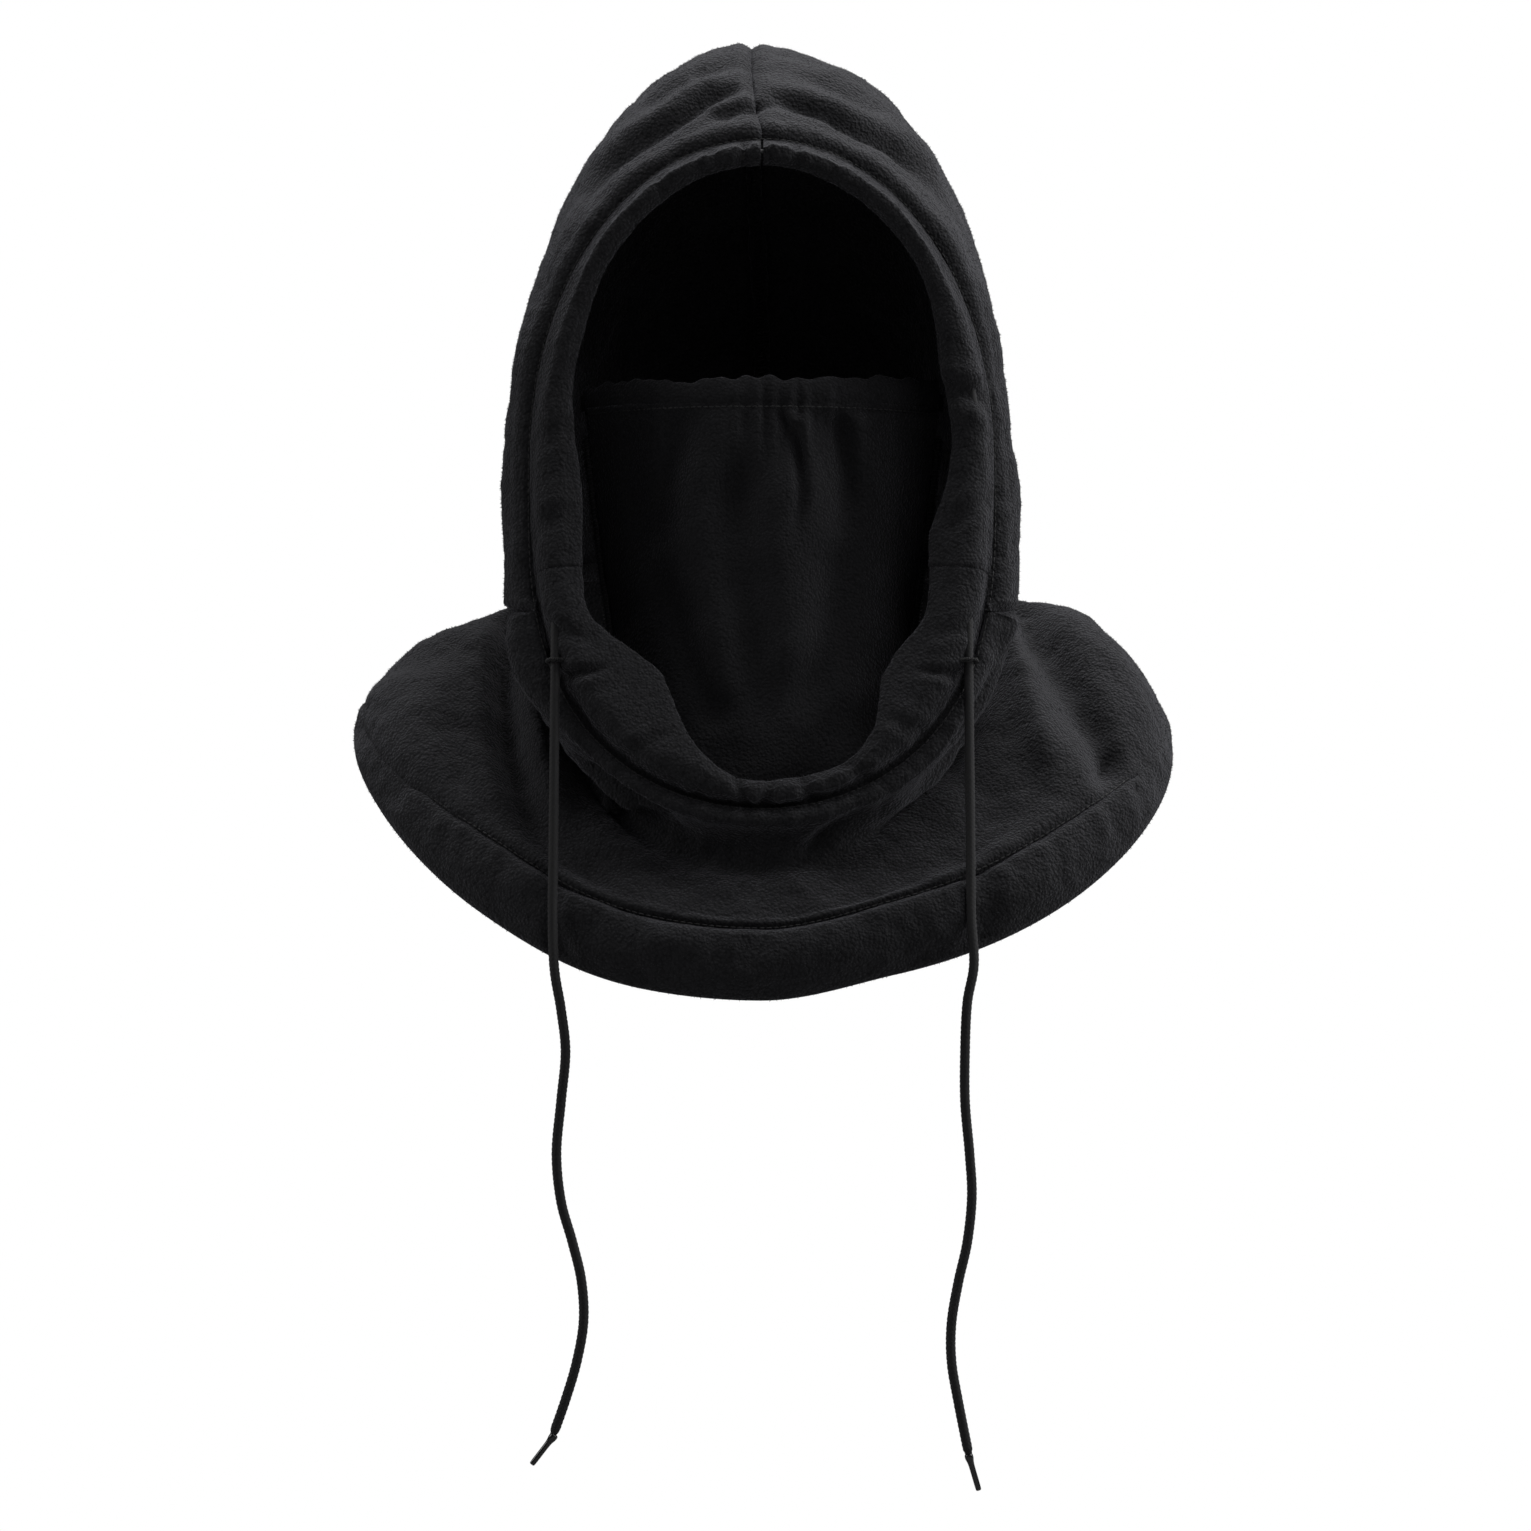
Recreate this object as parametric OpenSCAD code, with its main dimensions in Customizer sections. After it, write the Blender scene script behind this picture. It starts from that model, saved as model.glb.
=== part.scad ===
// Fleece balaclava hood: a two-panel hood with a drawcord round the face opening, a neck and
// shoulder cape in one piece, and a pull-down face mask inside. Millimetres, +Z up, face towards -Y.
// The origin is where the top of the head rests inside the crown.

/* [Hood] */
// Widest part of the hood, across the two side panels
hood_w = 236; // [220:1:250]
// Height of the crown's outer surface above the head's top
crown_rise = 5; // [4:0.5:8]
// How far the back of the hood stands behind the head's top
hood_back = 112; // [105:1:120]
// Height of the seam between hood and cape at the sides of the face
neck_seam_z = -271; // [-276:1:-266]
// How much the neck seam rises towards the nape
neck_seam_rise = 21; // [0:1:25]
// Thickness of one layer of fleece
fleece_t = 3.5; // [2.5:0.5:4]

/* [Face opening] */
// Width of the stitch line round the opening
opening_w = 210; // [200:1:214]
// Height of the stitch line's top
opening_top_z = -57; // [-60:1:-54]
// Height of the stitch line's bottom, under the chin
opening_chin_z = -358; // [-362:1:-354]
// Width of the flattened drawcord tunnel
casing_w = 20; // [18:0.5:21]
// Thickness of the flattened drawcord tunnel
casing_t = 12; // [11:0.5:12.5]
// Cloth wall of the drawcord tunnel
casing_wall = 2.4; // [2:0.1:2.6]

/* [Cape] */
// Width of the cape's hem across the shoulders
cape_w = 392; // [380:1:404]
// Height of the lowest point of the hem, at the chest
hem_front_z = -441; // [-446:1:-436]
// Height of the hem over the shoulders
hem_side_z = -324; // [-330:1:-318]
// Height of the hem at the back
hem_back_z = -412; // [-418:1:-404]
// Thickness of the turned-up hem
hem_t = 7.5; // [6:0.5:8]

/* [Mask] */
// Height of the mask's top edge, over the nose
mask_top_z = -164; // [-170:1:-158]
// Height of the mask's lower edge
mask_low_z = -334; // [-336:1:-326]
// Height of the elastic's tunnel
tunnel_h = 15; // [12:1:18]
// Thickness of the gathered tunnel
tunnel_t = 6; // [5:0.5:7]
// Width of the elastic
elastic_w = 8; // [6:1:9]
// Thickness of the elastic
elastic_t = 1.2; // [0.8:0.1:1.4]

/* [Cords] */
// Diameter of the braided drawcord
cord_d = 4.5; // [3.5:0.1:5]
// Diameter of the plastic tip on each end
aglet_d = 2.6; // [2.2:0.1:3]
// Length of the plastic tip
aglet_l = 14; // [12:1:16]
// Diameter of the sewing thread rows
thread_d = 1.2; // [0.8:0.1:1.4]

/* [Hidden] */

// ---- the hood's shape: rings that start round the face and end round the shoulders ----
// Each ring: top (or back) y and z, bottom (or front) y and z, half width, side y and z,
// squareness of its upper half and of its lower half, where 2 is an ellipse.
rings = [
    [-92, opening_top_z, -116, opening_chin_z, opening_w / 2, -82, -205, 2.15, 3.1],
    [-82, -46, -117, -365, hood_w / 2, -66, -208, 2.2, 2.9],
    [-50, -17, -109, -371, hood_w / 2, -40, -211, 2.35, 2.7],
    [-8, crown_rise, -107, -376, hood_w / 2 - 1, -12, -216, 2.35, 2.5],
    [60, -14, -108, -381, hood_w / 2 - 9, 12, -226, 2.3, 2.3],
    [102, -75, -110, -386, hood_w / 2 - 16, 24, -238, 2.3, 2.3],
    [hood_back, -150, -113, -391, hood_w / 2 - 17, 26, -250, 2.2, 2.2],
    [98, neck_seam_z + neck_seam_rise, -116, -396, hood_w / 2 - 12, 20, -262, 2.1, 2.1],
    [95, -290, -119, -401, hood_w / 2 + 10, 15, -271, 2.1, 2.2],
    [108, -342, -123, -407, hood_w / 2 + 42, 10, -283, 2.2, 2.5],
    [124, -380, -127, -413, cape_w / 2 - 13, 6, -297, 2.5, 2.7],
    [131, hem_back_z, -130, hem_front_z, cape_w / 2, 3, hem_side_z, 2.6, 2.8]
];
neck_ring = 7;
stitch_ring = 10;
hem_ring = 11;

// The tunnel's centre line round the face, as a ring of the same kind
casing_ring = [
    -95, opening_top_z - 10, -114.5, opening_chin_z + 9.5, opening_w / 2 - 10.6, -86.5, -205, 2.15, 3.1
];

// ---- vectors and curves ----
function unit(v) = v / norm(v);
function spline(a, b, c, d, u) =
    ((2 * b) + (c - a) * u + (2 * a - 5 * b + 4 * c - d) * u * u
    + (3 * b - a - 3 * c + d) * u * u * u) / 2;
function ring_at(s) =
    let (i = max(0, min(hem_ring - 1, floor(s))), u = s - i)
    let (before = i > 0 ? rings[i - 1] : 2 * rings[0] - rings[1])
    let (after = i < hem_ring - 1 ? rings[i + 2] : 2 * rings[hem_ring] - rings[hem_ring - 1])
    spline(before, rings[i], rings[i + 1], after, u);

// A point on a ring at angle t: 0 at the top or back, 90 at the right, 180 at the chin
ring_bend = 1.7;
function on_ring(r, t) =
    let (c = cos(t), bend = pow(abs(c), ring_bend), square = c >= 0 ? r[7] : r[8])
    [
        sign(sin(t)) * r[4] * sqrt(max(0, 1 - pow(abs(c), square))),
        r[5] + (r[0] - r[2]) / 2 * c + ((r[0] + r[2]) / 2 - r[5]) * bend,
        r[6] + (r[1] - r[3]) / 2 * c + ((r[1] + r[3]) / 2 - r[6]) * bend
    ];
function skin(s, t) = on_ring(ring_at(s), t);
function skin_normal(s, t) =
    let (h = 0.05, a = 1.5)
    unit(cross(skin(s, t + a) - skin(s, t - a), skin(s + h, t) - skin(max(0, s - h), t)));

// ---- seams, as lists of places on the skin: [ring position, angle] ----
// The neck seam runs along the neck ring at the back, and forward along the sides at an even height
skin_start = 0.12;
corner_turn = 109;
back_cols = 18;
side_cols = 8;
chin_cols = 14;
function side_seam_height(s) = neck_seam_z + 9 * s / neck_ring;
function turn_search(s, low, high, n) =
    let (mid = (low + high) / 2)
    n == 0 ? mid
    : skin(s, mid)[2] > side_seam_height(s) ? turn_search(s, mid, high, n - 1)
    : turn_search(s, low, mid, n - 1);
function seam_turn(s) = turn_search(s, 60, 130, 14);
// The seam stops this far short of the tunnel, where the cape's own edge takes over
seam_stop = 0.3;
function seam_side_s(i) = seam_stop + (neck_ring - seam_stop) * (1 - i / side_cols);
neck_seam = concat(
    [for (i = [0:back_cols - 1]) [neck_ring, seam_turn(neck_ring) * i / back_cols]],
    [for (i = [0:side_cols]) [seam_side_s(i), seam_turn(seam_side_s(i))]]
);
seam_corner = neck_seam[back_cols + side_cols];
// Places along an edge that stays at one ring position, in the same number of columns
function edge_half(s, knee, corner) = concat(
    [for (i = [0:back_cols - 1]) [s, knee * i / back_cols]],
    [for (i = [0:side_cols]) [s, knee + (corner - knee) * i / side_cols]]
);
function edge_chin(s, corner) =
    [for (i = [0:chin_cols]) [s, corner + (180 - corner) * i / chin_cols]];
// A half edge seen from the other side, and a half edge carried all the way round
function other_side(edge) = [for (i = [len(edge) - 1:-1:0]) [edge[i][0], -edge[i][1]]];
function whole_edge(half) =
    concat(half, [for (i = [1:len(half) - 2]) other_side(half)[i]]);

// ---- solids from grids of points ----
// Two triangles for one cell, turned so that the faces look outwards
function cell(a, b, c, d) = [[a, b, c], [a, c, d]];
function flat(lists) = [for (l = lists) each l];

// A cloth wall between an outer and an inner grid; wrap joins each row's ends
module wall(outer, inner, wrap = false) {
    rows = len(outer);
    cols = len(outer[0]);
    n = rows * cols;
    last = wrap ? cols : cols - 1;
    function o(i, j) = i * cols + (j % cols);
    function q(i, j) = n + o(i, j);
    faces = flat([
        for (i = [0:rows - 2]) for (j = [0:last - 1]) concat(
            cell(o(i, j), o(i + 1, j), o(i + 1, j + 1), o(i, j + 1)),
            cell(q(i, j), q(i, j + 1), q(i + 1, j + 1), q(i + 1, j))),
        for (j = [0:last - 1]) concat(
            cell(o(0, j), o(0, j + 1), q(0, j + 1), q(0, j)),
            cell(o(rows - 1, j), q(rows - 1, j), q(rows - 1, j + 1), o(rows - 1, j + 1))),
        if (!wrap) for (i = [0:rows - 2]) concat(
            cell(o(i, 0), q(i, 0), q(i + 1, 0), o(i + 1, 0)),
            cell(o(i, last), o(i + 1, last), q(i + 1, last), q(i, last)))
    ]);
    polyhedron(points = concat(flat(outer), flat(inner)), faces = faces);
}

// Points round a path: an oval of half width wide and half thickness thick, set by each point's side
function path_tangent(path, i, closed) =
    let (n = len(path))
    closed ? unit(path[(i + 1) % n] - path[(i + n - 1) % n])
    : unit(path[min(n - 1, i + 1)] - path[max(0, i - 1)]);
function ovals(path, side, wide, thick, sides, closed = false) = [
    for (i = [0:len(path) - 1])
    let (t = path_tangent(path, i, closed), raw = is_list(side[0]) ? side[i] : side)
    let (a = unit(raw - (raw * t) * t), b = cross(t, a))
    [for (k = [0:sides - 1]) path[i] + a * wide * cos(360 * k / sides) + b * thick * sin(360 * k / sides)]
];

// A solid cord or thread along a path
module strand(path, side, wide, thick, sides, closed = false) {
    grid = ovals(path, side, wide, thick, sides, closed);
    rows = len(grid);
    steps = closed ? rows : rows - 1;
    function v(i, j) = (i % rows) * sides + (j % sides);
    faces = concat(
        flat([
            for (i = [0:steps - 1]) for (j = [0:sides - 1])
            cell(v(i, j), v(i + 1, j), v(i + 1, j + 1), v(i, j + 1))
        ]),
        closed ? [] : [[for (j = [0:sides - 1]) v(0, j)]],
        closed ? [] : [[for (j = [sides - 1:-1:0]) v(rows - 1, j)]]
    );
    polyhedron(points = flat(grid), faces = faces);
}

// ---- hood and cape cloth ----
// Cloth from one edge to another, both lists of places on the skin; thick has one value a row
module cloth(from_edge, to_edge, thick, wrap = false) {
    steps = len(thick) - 1;
    function place(i, k) = from_edge[k] + (to_edge[k] - from_edge[k]) * i / steps;
    places = [for (i = [0:steps]) [for (k = [0:len(from_edge) - 1]) place(i, k)]];
    outer = [for (row = places) [for (p = row) skin(p[0], p[1])]];
    inner = [
        for (i = [0:steps])
        [for (k = [0:len(from_edge) - 1])
            outer[i][k] - thick[i] * skin_normal(places[i][k][0], places[i][k][1])]
    ];
    wall(outer, inner, wrap);
}

hood_rows = 16;
hood_thick = [for (i = [0:hood_rows]) fleece_t];
face_edge = edge_half(skin_start, 80, seam_corner[1]);
module hood_panel_left() {
    color("#2a2a2c") cloth(other_side(face_edge), other_side(neck_seam), hood_thick);
}

module hood_panel_right() {
    color("#303033") cloth(face_edge, neck_seam, hood_thick);
}

cape_rows = 10;
hem_corner = 115;
module neck_cape() {
    start = concat(neck_seam, edge_chin(skin_start, seam_corner[1]));
    end = concat(edge_half(stitch_ring, 90, hem_corner - 2), edge_chin(stitch_ring, hem_corner));
    color("#1f1f21")
        cloth(whole_edge(start), whole_edge(end), [for (i = [0:cape_rows]) fleece_t], true);
}

module cape_hem() {
    hem_start = stitch_ring + 0.01;
    start = concat(edge_half(hem_start, 90, hem_corner - 2), edge_chin(hem_start, hem_corner));
    end = [for (place = start) [hem_ring, place[1]]];
    thick = [0.7, 1, 1, 1, 0.9, 0.6] * hem_t;
    color("#26262a") cloth(whole_edge(start), whole_edge(end), thick, true);
}

// ---- drawcord tunnel round the face ----
casing_sides = 12;
function casing_path(from_t, to_t, steps) =
    [for (i = [0:steps]) on_ring(casing_ring, from_t + (to_t - from_t) * i / steps)];
// The tunnel lies flat across the direction from the opening's middle to its edge
function casing_out(from_t, to_t, steps) = [
    for (i = [0:steps])
    let (t = from_t + (to_t - from_t) * i / steps, p = on_ring(casing_ring, t))
    unit([p[0], 0, p[2] - casing_ring[6]]) + [0, 0.2, 0]
];
module casing(from_t, to_t, steps) {
    path = casing_path(from_t, to_t, steps);
    out = casing_out(from_t, to_t, steps);
    wall(
        ovals(path, out, casing_w / 2, casing_t / 2, casing_sides),
        ovals(path, out, casing_w / 2 - casing_wall, casing_t / 2 - casing_wall, casing_sides),
        true
    );
}

module face_casing_left() {
    color("#38383b") casing(-corner_turn, -0.4, 22);
}

module face_casing_right() {
    color("#3c3c40") casing(0.4, corner_turn, 22);
}

exit_d = 9;
module face_casing_chin() {
    color("#333336")
        difference() {
            casing(corner_turn + 0.3, 360 - corner_turn - 0.3, 30);
            for (side = [-1, 1])
                exit_place(side)
                    translate([0, 0, -30])
                        cylinder(h = 56, d = exit_d, $fn = 24);
        }
}

// ---- drawcord ----
// Route of the left free end: straight out of the tunnel, over the cape, then hanging
cord_left_route = [
    [-93, -89.25, -232], [-93, -93.75, -257], [-93, -98.25, -282], [-93, -102.75, -307],
    [-93, -107.25, -332], [-93, -111.75, -357], [-93, -116.25, -382], [-93, -120.75, -407],
    [-92, -124, -430], [-89, -125, -448], [-87, -125, -467], [-89, -125, -489],
    [-91, -125, -512], [-89, -125, -533], [-84, -125, -551], [-80, -125, -568],
    [-79, -125, -586], [-82, -125, -604], [-87, -125, -621], [-93, -125, -638]
];
// Route of the right free end
cord_right_route = [
    [93, -89.25, -232], [93, -93.75, -257], [93, -98.25, -282], [93, -102.75, -307],
    [93, -107.25, -332], [93, -111.75, -357], [93, -116.25, -382], [93, -120.75, -407],
    [94, -124, -428], [91, -125, -445], [90, -125, -466], [90, -125, -489],
    [92, -125, -512], [93, -125, -531], [91, -125, -551], [87, -125, -569],
    [84, -125, -587], [84, -125, -604], [87, -125, -622], [92, -125, -647]
];
aglet_left_way = [-8.5, 0, -11];
aglet_right_way = [3.5, 0, -12];
// Clearance between a cord's cut end and its tip, which leans over from it
aglet_gap = 0.7;
// How far the straight stretch leans forward from plumb
cord_lean = atan(4.5 / 25);

function route_point(route, x) =
    let (n = len(route) - 1, i = max(0, min(n - 1, floor(x))), u = x - i)
    spline(route[max(0, i - 1)], route[i], route[i + 1], route[min(n, i + 2)], u);
function route_path(route, rings_per_span) =
    [for (k = [0:(len(route) - 1) * rings_per_span]) route_point(route, k / rings_per_span)];

module exit_place(side) {
    translate([side * 93, -100.05, -292])
        rotate([-cord_lean, 0, 0])
            children();
}

cord_sides = 8;
module free_cord(route) {
    strand(route_path(route, 3), [1, 0, 0], cord_d / 2, cord_d / 2, cord_sides);
}

module cord_left() {
    color("#2e2e30") free_cord(cord_left_route);
}

module cord_right() {
    color("#2e2e30") free_cord(cord_right_route);
}

module drawcord_loop() {
    reach = 100.4;
    path = [for (i = [-26:26]) on_ring(casing_ring, reach * i / 26)];
    color("#2e2e30") strand(path, [0, 1, 0.01], cord_d / 2, cord_d / 2, cord_sides);
}

module aglet(route, way) {
    end = route[len(route) - 1];
    turn_y = acos(way[2] / norm(way));
    turn_z = atan2(way[1], way[0]);
    translate(end)
        rotate([0, turn_y, turn_z])
            translate([0, 0, aglet_gap])
                cylinder(h = aglet_l, d = aglet_d, $fn = 32);
}

module aglet_left() {
    color("#1a1a1a") aglet(cord_left_route, aglet_left_way);
}

module aglet_right() {
    color("#1a1a1a") aglet(cord_right_route, aglet_right_way);
}

// A ring of close stitches round the hole that each cord leaves by
module cord_exit(side) {
    exit_place(side)
        translate([0, 0, -1])
            rotate_extrude($fn = 32)
                translate([exit_d / 2 - 1, 0])
                    circle(d = 1.4, $fn = 16);
}

module cord_exit_left() {
    color("#222224") cord_exit(-1);
}

module cord_exit_right() {
    color("#222224") cord_exit(1);
}

// ---- thread rows ----
thread_sides = 6;
thread_lift = thread_d / 2 + 0.15;
module thread_row(spots, closed = false, lift = thread_lift) {
    path = [for (p = spots) skin(p[0], p[1]) + lift * skin_normal(p[0], p[1])];
    side = [for (p = spots) skin_normal(p[0], p[1])];
    strand(path, side, thread_d / 2, thread_d / 2, thread_sides, closed);
}

module casing_stitching() {
    color("#161618") thread_row([for (t = [-180:5:175]) [skin_start + 0.2, t]], true);
}

module neck_seam_stitching() {
    last = len(neck_seam) - 2;
    right = [for (i = [0:last]) neck_seam[i] + [0.12 * (last + 1 - i) / last, 0.6]];
    left = [for (i = [last:-1:1]) [right[i][0], -right[i][1]]];
    spots = concat(left, [[neck_ring + 0.12, 0]], [for (i = [1:last]) right[i]]);
    // Lifted a little more, where the cape turns outwards under it
    color("#161618") thread_row(spots, lift = thread_lift + 0.5);
}

module hem_stitching() {
    color("#161618") thread_row([for (t = [-180:5:175]) [stitch_ring - 0.15, t]], true);
}

// The turned-in, overlocked edges of the two hood panels, on the inside of the centre seam
module centre_seam_overlock() {
    end_s = neck_ring - 0.3;
    start_s = 0.7;
    rows = 30;
    inside = fleece_t + 2.6;
    path = [
        for (i = [0:rows])
        let (s = start_s + (end_s - start_s) * i / rows)
        skin(s, 0) - inside * skin_normal(s, 0)
    ];
    color("#18181a") strand(path, [1, 0, 0], 4, 1.6, cord_sides);
}

// The same on the cape, from the neck seam to the hem at the centre back
module cape_back_seam() {
    start_s = neck_ring + 0.3;
    rows = 12;
    inside = fleece_t + 1.9;
    path = [
        for (i = [0:rows])
        let (s = start_s + (stitch_ring - 0.4 - start_s) * i / rows)
        skin(s, 0) - inside * skin_normal(s, 0)
    ];
    color("#18181a") strand(path, [1, 0, 0], 4, 1.6, cord_sides);
}

// ---- face mask ----
// A level slice of the mask: it bows forward over the nose and runs back to the cheeks
mask_top_half_w = 84;
mask_low_half_w = 46;
mask_front_y = -88;
mask_chin_y = -98;
mask_bow = 40;
function mask_point(x, down) =
    let (half = mask_top_half_w + (mask_low_half_w - mask_top_half_w) * pow(down, 1.4))
    let (front = mask_front_y + (mask_chin_y - mask_front_y) * down)
    [
        half * x,
        front + mask_bow * (1 - 0.6 * down) * pow(abs(x), 2.4),
        mask_top_z + (mask_low_z - mask_top_z) * down - 6 * (1 - x * x) * down * down
    ];
function mask_spread(k, n) = let (a = k / n) sign(a) * pow(abs(a), 0.85);
mask_cols = 16;
mask_rows = 10;
tunnel_gap = 0.5;
panel_top = (tunnel_h + tunnel_gap) / (mask_top_z - mask_low_z);

module mask_panel() {
    grid = [
        for (i = [0:mask_rows])
        [for (k = [-mask_cols:mask_cols])
            mask_point(mask_spread(k, mask_cols), panel_top + (1 - panel_top) * i / mask_rows)]
    ];
    back = [for (row = grid) [for (p = row) p + [0, fleece_t, 0]]];
    color("#232325") wall(back, grid);
}

function tunnel_path() = [
    for (k = [-mask_cols:mask_cols])
    let (p = mask_point(mask_spread(k, mask_cols), 0))
    [p[0], p[1] + fleece_t / 2, mask_top_z - tunnel_h / 2]
];
module mask_top_casing() {
    wall_t = 2;
    path = tunnel_path();
    color("#29292b")
        wall(
            ovals(path, [0, 0, 1], tunnel_h / 2, tunnel_t / 2, casing_sides),
            ovals(path, [0, 0, 1], tunnel_h / 2 - wall_t, tunnel_t / 2 - wall_t, casing_sides),
            true
        );
}

module mask_elastic() {
    color("#101012")
        strand(tunnel_path(), [0, 0, 1], elastic_w / 2, elastic_t / 2, cord_sides);
}

// Along the front of the tunnel, a little below its middle
module mask_tunnel_stitching() {
    front_low = 4;
    path = [
        for (oval = ovals(tunnel_path(), [0, 0, 1], tunnel_h / 2, tunnel_t / 2 + 0.6, casing_sides))
        oval[front_low]
    ];
    color("#161618") strand(path, [0, 0, 1], 0.4, 0.4, thread_sides);
}

module mask_side_seam(side) {
    rows = 16;
    path = [
        for (i = [0:rows])
        mask_point(side, 0.14 + 0.82 * i / rows) + [side * 1.8, fleece_t / 2, 0]
    ];
    color("#161618") strand(path, [0, 1, 0], 1.2, 1.2, cord_sides);
}

module mask_side_seam_left() {
    mask_side_seam(-1);
}

module mask_side_seam_right() {
    mask_side_seam(1);
}

hood_panel_left();
hood_panel_right();
centre_seam_overlock();
face_casing_left();
face_casing_right();
face_casing_chin();
neck_cape();
cape_hem();
cape_back_seam();
casing_stitching();
neck_seam_stitching();
hem_stitching();
drawcord_loop();
cord_exit_left();
cord_exit_right();
cord_left();
cord_right();
aglet_left();
aglet_right();
mask_panel();
mask_top_casing();
mask_elastic();
mask_tunnel_stitching();
mask_side_seam_left();
mask_side_seam_right();
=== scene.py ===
import math
import bpy
import bmesh
import numpy as np
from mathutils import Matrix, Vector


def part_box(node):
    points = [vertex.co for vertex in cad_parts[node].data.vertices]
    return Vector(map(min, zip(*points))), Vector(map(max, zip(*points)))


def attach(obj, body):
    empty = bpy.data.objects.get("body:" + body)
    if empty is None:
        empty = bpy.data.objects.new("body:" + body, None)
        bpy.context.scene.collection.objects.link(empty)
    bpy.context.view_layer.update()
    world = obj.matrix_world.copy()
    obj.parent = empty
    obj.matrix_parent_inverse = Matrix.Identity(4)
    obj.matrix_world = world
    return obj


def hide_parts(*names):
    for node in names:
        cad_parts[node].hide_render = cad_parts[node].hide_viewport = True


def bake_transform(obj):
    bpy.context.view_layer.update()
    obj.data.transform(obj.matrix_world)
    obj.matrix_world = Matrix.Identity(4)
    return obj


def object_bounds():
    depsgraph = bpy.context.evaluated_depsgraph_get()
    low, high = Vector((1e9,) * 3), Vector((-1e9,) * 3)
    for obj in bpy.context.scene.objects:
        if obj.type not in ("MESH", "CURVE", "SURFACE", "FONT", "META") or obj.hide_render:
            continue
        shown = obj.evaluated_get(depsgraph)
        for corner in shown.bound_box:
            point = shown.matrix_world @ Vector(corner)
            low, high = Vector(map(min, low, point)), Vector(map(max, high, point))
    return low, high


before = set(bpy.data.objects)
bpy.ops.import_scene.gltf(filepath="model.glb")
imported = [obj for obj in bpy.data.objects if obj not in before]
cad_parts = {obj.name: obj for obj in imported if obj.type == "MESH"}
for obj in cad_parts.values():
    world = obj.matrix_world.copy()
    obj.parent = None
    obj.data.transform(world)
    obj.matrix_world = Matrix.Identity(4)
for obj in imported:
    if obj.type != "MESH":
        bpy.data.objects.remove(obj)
cadLow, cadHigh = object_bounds()
mm = 0.001
print("frame loaded:", len(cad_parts), "nodes")


cameraLook = {
    "distance": 1.6,  # from the plane of the face opening
    "facePlane": -0.1,
    "level": -0.34,  # as high as the chin
    "aside": 0.0016,
    "seenWidth": 0.689,  # how much the camera takes in at that plane
}


def placeCamera(look):
    data = bpy.data.cameras.new("camera")
    data.sensor_width = 36
    data.lens = 36 * look["distance"] / look["seenWidth"]
    camera = bpy.data.objects.new("camera", data)
    camera.location = (look["aside"], look["facePlane"] - look["distance"], look["level"])
    camera.rotation_euler = (math.pi / 2, 0, 0)
    bpy.context.scene.collection.objects.link(camera)
    bpy.context.scene.camera = camera


placeCamera(cameraLook)


def addNode(tree, kind, inputs=None, links=None, **settings):
    node = tree.nodes.new(kind)
    for key, value in settings.items():
        setattr(node, key, value)
    for key, value in (inputs or {}).items():
        node.inputs[key].default_value = value
    for key, socket in (links or {}).items():
        tree.links.new(socket, node.inputs[key])
    return node


def linear(code):
    parts = [int(code[i:i + 2], 16) / 255 for i in (1, 3, 5)]
    return tuple(c / 12.92 if c <= 0.04045 else ((c + 0.055) / 1.055) ** 2.4 for c in parts) + (1,)


def startMaterial(name):
    material = bpy.data.materials.new(name)
    material.use_nodes = True
    material.node_tree.nodes.clear()
    return material, material.node_tree


# Polar fleece is knitted polyester, brushed and shorn, so it is matt and pebbled with small tufts
fleeceLook = {
    "paintedShade": "#0a0a0b",  # painted shade between the tufts
    "lit": "#1f1f21",  # on the tufts
    "tuft": 1.3,  # mm across
    "fibre": 0.55,
    "patch": 28,  # mm, where the nap lies a little differently
    "bump": 0.9,
    "bumpDepth": 0.85,  # mm
    "sheen": 0.3,
    "sheenColour": "#8a8a92",
}
# The mask is a thinner, closer shorn fleece, with the same painted shade between its tufts and painted light
# on them
maskCloth = dict(fleeceLook, paintedShade="#080809", lit="#19191b", tuft=1.2, fibre=0.5, bump=0.7, bumpDepth=0.8)


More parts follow.
